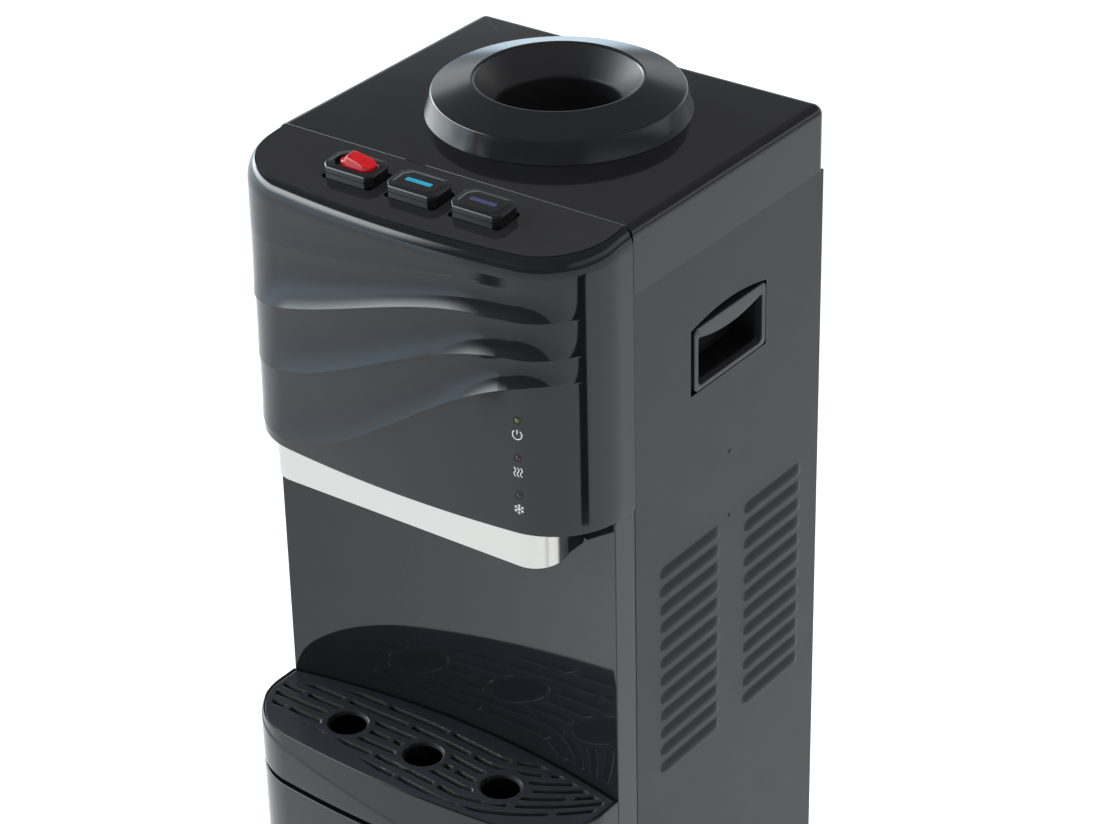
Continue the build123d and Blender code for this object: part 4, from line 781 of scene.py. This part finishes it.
bezel_rows = ((0, 0, 5, 0, 6), (0, 0, 5, 0, 0.2), (0.5, 0.5, 5, 0, -0.3),
              (4.4, 3.6, 4, 7, -0.3), (4.9, 4.1, 4, 7.4, 0.4), (4.9, 4.1, 4, 7.4, 6),
              (0, 0, 5, 0, 6))
# Pocket behind each hold, in near black: painted shade in the hollow
pocket_rows = ((4.4, 3.6, 4, 6.4, 1), (4.4, 3.6, 4, 6.4, 28), (3.4, 2.6, 4, 6, 29.5),
               (3.4, 2.6, 4, 6, 1), (4.4, 3.6, 4, 6.4, 1))
floor_rows = ((4.4, 3.6, 4, 6.4, 27.5), (4.4, 3.6, 4, 6.4, 28.5))
for side_name, side in (("right", 1), ("left", -1)):
    make_piece(side_name + "_hold_bezel", [hold_grid(side, bezel_rows)], hold_abs, (side_name + "_hand_hold",))
    make_piece(side_name + "_hold_pocket", [hold_grid(side, pocket_rows), hold_grid(side, floor_rows)], black_abs_and_painted_shade)

# Screws: low domes, turned from radius and height
SCREW_Y, SCREW_LEVELS = 121.7, (718, 663.5)
dome = np.array([(0.0, 1.0), (0.9, 0.9), (1.6, 0.55), (2.0, 0.0), (1.5, -0.5), (0.0, -0.5)])
turned = [revolved(dome, (0, 0, 0), 20)[..., [2, 1, 0]] * (side, 1, 1) + (side * PANEL_X, SCREW_Y, z)
          for side in (-1, 1) for z in SCREW_LEVELS]
make_piece("screw_heads", turned, dark_screw, ("side_screws",))


# Lamps in the head, each in a ring, with a printed sign below
LAMP_ALONG, LAMP_LEVELS, SIGN_DROP, INK = 107.8, (820.5, 790.9, 761.3), 11.2, 0.06


def on_head(offset, level, out):
    """Points on the head near the lamps: offsets along the front, levels, and heights off the surface."""
    x, y, out_x, out_y = front_line(LAMP_ALONG + np.asarray(offset, float), HEAD_REACH)
    return np.stack([x + out_x * out, y + out_y * out, level + 0 * x], -1)


def head_turned(line, level, turns=48):
    """Line of (radius, height) points turned about the head's outward direction at a lamp."""
    angle = np.linspace(0, 2 * pi, turns + 1)
    return np.stack([on_head(radius * np.cos(angle), level + radius * np.sin(angle), height)
                     for radius, height in line])


ring_line = ((1.7, -0.4), (3.2, -0.4), (3.2, 0.1), (3.1, 0.2), (2.8, 0.2), (2.2, 0.06), (1.7, 0.03), (1.7, -0.4))
make_piece("lamp_rings", [head_turned(ring_line, level) for level in LAMP_LEVELS], black_abs_and_painted_shade)
lens_line = ((0.0, 0.6), (0.6, 0.55), (1.2, 0.36), (1.66, 0.0), (1.66, -0.4), (0.0, -0.4))
for colour, level, tinted in zip(("green", "red", "blue"), LAMP_LEVELS, (lens_green, lens_red, lens_dark)):
    make_piece("lamp_lens_" + colour, [head_turned(lens_line, level)], tinted,
               ("indicator_lamps",) if colour == "green" else ())


def stroke(points, level, width=0.8):
    """Printed stroke: a flat band of given width along a line of points, a little off the head."""
    points = np.array(points, float)
    run = np.gradient(points, axis=0)
    run /= np.linalg.norm(run, axis=1)[:, None]
    side = np.stack([-run[:, 1], run[:, 0]], -1) * width / 2
    section = ((1, 0.0), (1, INK), (-1, INK), (-1, 0.0), (1, 0.0))
    edges = [(points + way * side, out) for way, out in section]
    return np.stack([on_head(p[:, 0], level + p[:, 1], out) for p, out in edges])


def arc(radius, start, end, steps=25):
    """Points on part of a circle, angles in degrees."""
    turn = np.radians(np.linspace(start, end, steps))
    return np.stack([radius * np.cos(turn), radius * np.sin(turn)], -1)


# Power: a broken ring with a bar. Heat: three waves. Cold: six arms with twigs
power_sign, heat_sign, cold_sign = (level - SIGN_DROP for level in LAMP_LEVELS)
print_lines = [stroke(arc(3.6, 125, 415), power_sign), stroke([(0, 0.4), (0, 2.2), (0, 4.0)], power_sign)]
rise = np.linspace(-3.6, 3.6, 33)
print_lines += [stroke(np.stack([0.7 * np.sin(rise * 1.1) + x, rise], -1), heat_sign) for x in (-2.5, 0.0, 2.5)]
for a in np.radians((90, 30, -30, -90, -150, 150)):
    arm = np.array([(cos(a), sin(a))])
    print_lines.append(stroke(np.linspace(0.1, 4.0, 3)[:, None] * arm, cold_sign, 0.7))
    for twig in (a + pi / 4, a - pi / 4):
        twig_line = 2.3 * arm + np.linspace(0, 1.4, 3)[:, None] * (cos(twig), sin(twig))
        print_lines.append(stroke(twig_line, cold_sign, 0.6))
make_piece("lamp_signs", print_lines, sign_ink)


# Camera at the photograph's angle
def camera_matrix(azimuth, elevation, roll, place):
    """Matrix with the right, up and back axes of an azimuth, elevation and roll as columns, then the place."""
    a, e, r = radians(azimuth), radians(elevation), radians(roll)
    back = np.array([sin(a) * cos(e), -cos(a) * cos(e), sin(e)])
    right = np.array([cos(a), sin(a), 0.0])
    up = np.cross(back, right)
    columns = [cos(r) * right + sin(r) * up, -sin(r) * right + cos(r) * up, back, np.array(place)]
    return Matrix([[c[i] for c in columns] for i in range(3)] + [[0, 0, 0, 1]])


CAMERA_PLACE = (1.3028, SEAM_Y - 1.6355, LID_TOP + 0.9911)
CAMERA_TURNS, CAMERA_LENS = (36.74, 29.526, -1.306), 108.8
lens_camera = bpy.data.cameras.new("camera")
lens_camera.sensor_width = 36.0
lens_camera.lens = CAMERA_LENS
camera = bpy.data.objects.new("camera", lens_camera)
scene.collection.objects.link(camera)
camera.matrix_world = camera_matrix(*CAMERA_TURNS, CAMERA_PLACE)
scene.camera = camera


# Floor, world and studio lamps
def softbox(name, place, target, width, height, power, code):
    """Rectangular lamp at a place, facing a target."""
    lamp = bpy.data.lights.new(name, "AREA")
    lamp.shape = "RECTANGLE"
    lamp.size, lamp.size_y, lamp.energy = width, height, power
    lamp.color = linear(code)[:3]
    holder = bpy.data.objects.new(name, lamp)
    back = np.array(place) - np.array(target)
    back /= np.linalg.norm(back)
    right = np.cross((0, 0, 1), back)
    right /= np.linalg.norm(right)
    up = np.cross(back, right)
    holder.matrix_world = Matrix([[right[i], up[i], back[i], place[i]] for i in range(3)] + [[0, 0, 0, 1]])
    holder.visible_glossy = False
    scene.collection.objects.link(holder)


def stage_board(name, corners, paint, code, roughness):
    """Board between four corners in a plain material: returns the board, the material's tree and its shader."""
    mesh = bpy.data.meshes.new(name)
    mesh.from_pydata(corners, [], [(0, 1, 2, 3)])
    material, tree, shader = new_material(paint)
    shader.inputs["Base Color"].default_value = linear(code)
    shader.inputs["Roughness"].default_value = roughness
    mesh.materials.append(material)
    board = bpy.data.objects.new(name, mesh)
    scene.collection.objects.link(board)
    return board, tree, shader


# Floor: matt pale paint. Camera, glossy and transmission rays also see a glow, neutral near the cooler and bluer far
# off at the left, where the waves mirror it; its light goes past 1, so it isn't given in hex
FLOOR_HALF, GLOW_NEAR, GLOW_FAR = 14, 1.7, 8
NEAR_GLOW, FAR_GLOW, GLOW_SIDE = (0.50, 0.52, 0.56, 1), (1, 1.35, 1.65, 1), (1, -0.4986, 0)
floor_corners = [(x * FLOOR_HALF, y * FLOOR_HALF, 0.0) for x, y in ((-1, -1), (1, -1), (1, 1), (-1, 1))]
floor, tree, shader = stage_board("floor", floor_corners, "painted_studio_floor", "e6e6e4", 0.8)
paths = add_node(tree, "LightPath")
seen = add_node(tree, "Math", {0: paths.outputs["Is Camera Ray"], 1: paths.outputs["Is Glossy Ray"]},
                operation="MAXIMUM")
seen = add_node(tree, "Math", {0: seen.outputs[0], 1: paths.outputs["Is Transmission Ray"]}, operation="MAXIMUM")
spot = add_node(tree, "TexCoord")
away = add_node(tree, "VectorMath", {0: spot.outputs["Object"]}, operation="LENGTH")
far = add_node(tree, "MapRange", {"Value": away.outputs["Value"]}, From_Min=GLOW_NEAR, From_Max=GLOW_FAR)
across = add_node(tree, "VectorMath", {0: spot.outputs["Object"]}, operation="DOT_PRODUCT")
across.inputs[1].default_value = GLOW_SIDE
left_part = add_node(tree, "MapRange", {"Value": across.outputs["Value"]}, From_Min=0.15, From_Max=0.0)
tinted = add_node(tree, "Math", {0: far.outputs[0], 1: left_part.outputs[0]}, operation="MULTIPLY")
glow = add_node(tree, "Mix", {"Factor": tinted.outputs[0]}, data_type="RGBA", A=NEAR_GLOW, B=FAR_GLOW)
tree.links.new(glow.outputs["Result"], shader.inputs["Emission Color"])
tree.links.new(seen.outputs[0], shader.inputs["Emission Strength"])


# Room: a bright wall at the left, a dark opening at the front, dim walls to the right and behind. Azimuth from the
# front, level and blueness of the walls, then height, level and blueness of their shade
WALLS = ((-180, 0.10, 0), (-150, 0.09, 0.1), (-128, 0.14, 0.1), (-108, 1, 0.08), (-44, 1, 0.08),
         (-35, 0.75, 0.08), (-31, 0.25, 0.08), (-28, 0.03, 0), (-14, 0.03, 0), (52, 0.02, 0), (64, 0.07, 0),
         (150, 0.11, 0), (180, 0.14, 0))
SHADE = ((0, 0.26, 0.2), (0.04, 0.42, 0.12), (0.12, 0.9, 0.04), (0.2, 1.2, 0), (0.34, 1.2, 0), (0.42, 0, 0))
LEAST_LIGHT, ROOM_STRENGTH = (0.0225, 0.0225, 0.0235, 1), 8.3


def ramp_node(tree, source, stops):
    """Colour ramp through (position, grey level, tint towards blue) stops, read from a socket."""
    node = add_node(tree, "ValToRGB", {"Fac": source})
    while len(node.color_ramp.elements) < len(stops):
        node.color_ramp.elements.new(0.5)
    for element, (position, level, blue) in zip(node.color_ramp.elements, stops):
        element.position, element.color = position, (level * (1 - blue), level * (1 - blue / 3), level, 1)
    return node.outputs["Color"]


world = bpy.data.worlds.new("studio")
world.use_nodes = True
scene.world = world
sky = world.node_tree
direction = add_node(sky, "TexCoord")
split = add_node(sky, "SeparateXYZ", {"Vector": direction.outputs["Generated"]})
forwards = add_node(sky, "Math", {0: split.outputs["Y"]}, operation="MULTIPLY")
forwards.inputs[1].default_value = -1.0
turn = add_node(sky, "Math", {0: split.outputs["X"], 1: forwards.outputs[0]}, operation="ARCTAN2")
turn = add_node(sky, "MapRange", {"Value": turn.outputs[0]}, From_Min=-pi, From_Max=pi)
walls = ramp_node(sky, turn.outputs[0], [((a + 180) / 360, level, blue) for a, level, blue in WALLS])
shade = ramp_node(sky, split.outputs["Z"], SHADE)
low_room = add_node(sky, "Mix", {"A": walls, "B": shade}, data_type="RGBA", blend_type="MULTIPLY", Factor=1.0)
room = add_node(sky, "Mix", {"A": low_room.outputs["Result"]}, data_type="RGBA", blend_type="LIGHTEN", Factor=1.0,
                B=LEAST_LIGHT)
sky.links.new(room.outputs["Result"], sky.nodes["Background"].inputs["Color"])
sky.nodes["Background"].inputs["Strength"].default_value = ROOM_STRENGTH

HEAD_AIM = (0, HEAD_FRONT, LID_TOP - 0.2)
softbox("front_left_softbox", (-1.6, -1.9, 1.7), HEAD_AIM, 1.2, 1.2, 10, "f2f6ff")
softbox("right_softbox", (2.3, -0.2, 1.5), HEAD_AIM, 1.0, 1.4, 17, "fffdf8")
softbox("top_softbox", (0.2, -0.3, 3.2), HEAD_AIM, 1.4, 1.4, 45, "ffffff")


# Two dark cloth flags on the floor, unseen by the camera: the head mirrors them as its dark stripes
def flag(name, azimuth, width, distance, low, high, code):
    """Upright dark board at an azimuth from the front and a distance in metres, as wide as an angle in degrees."""
    turns = np.radians([azimuth - width / 2, azimuth + width / 2])
    x, y = distance * np.sin(turns), SEAM_Y - distance * np.cos(turns)
    corners = [(x[0], y[0], low), (x[1], y[1], low), (x[1], y[1], high), (x[0], y[0], high)]
    board = stage_board(name, corners, name + "_cloth", code, 1.0)[0]
    board.visible_camera = board.visible_diffuse = board.visible_shadow = False


flag("left_flag", -22.1, 3.2, 1.536, 0.0, 0.2, "4a3a30")
flag("right_flag", 77.0, 11.0, 1.34, 0.0, 0.5, "101010")
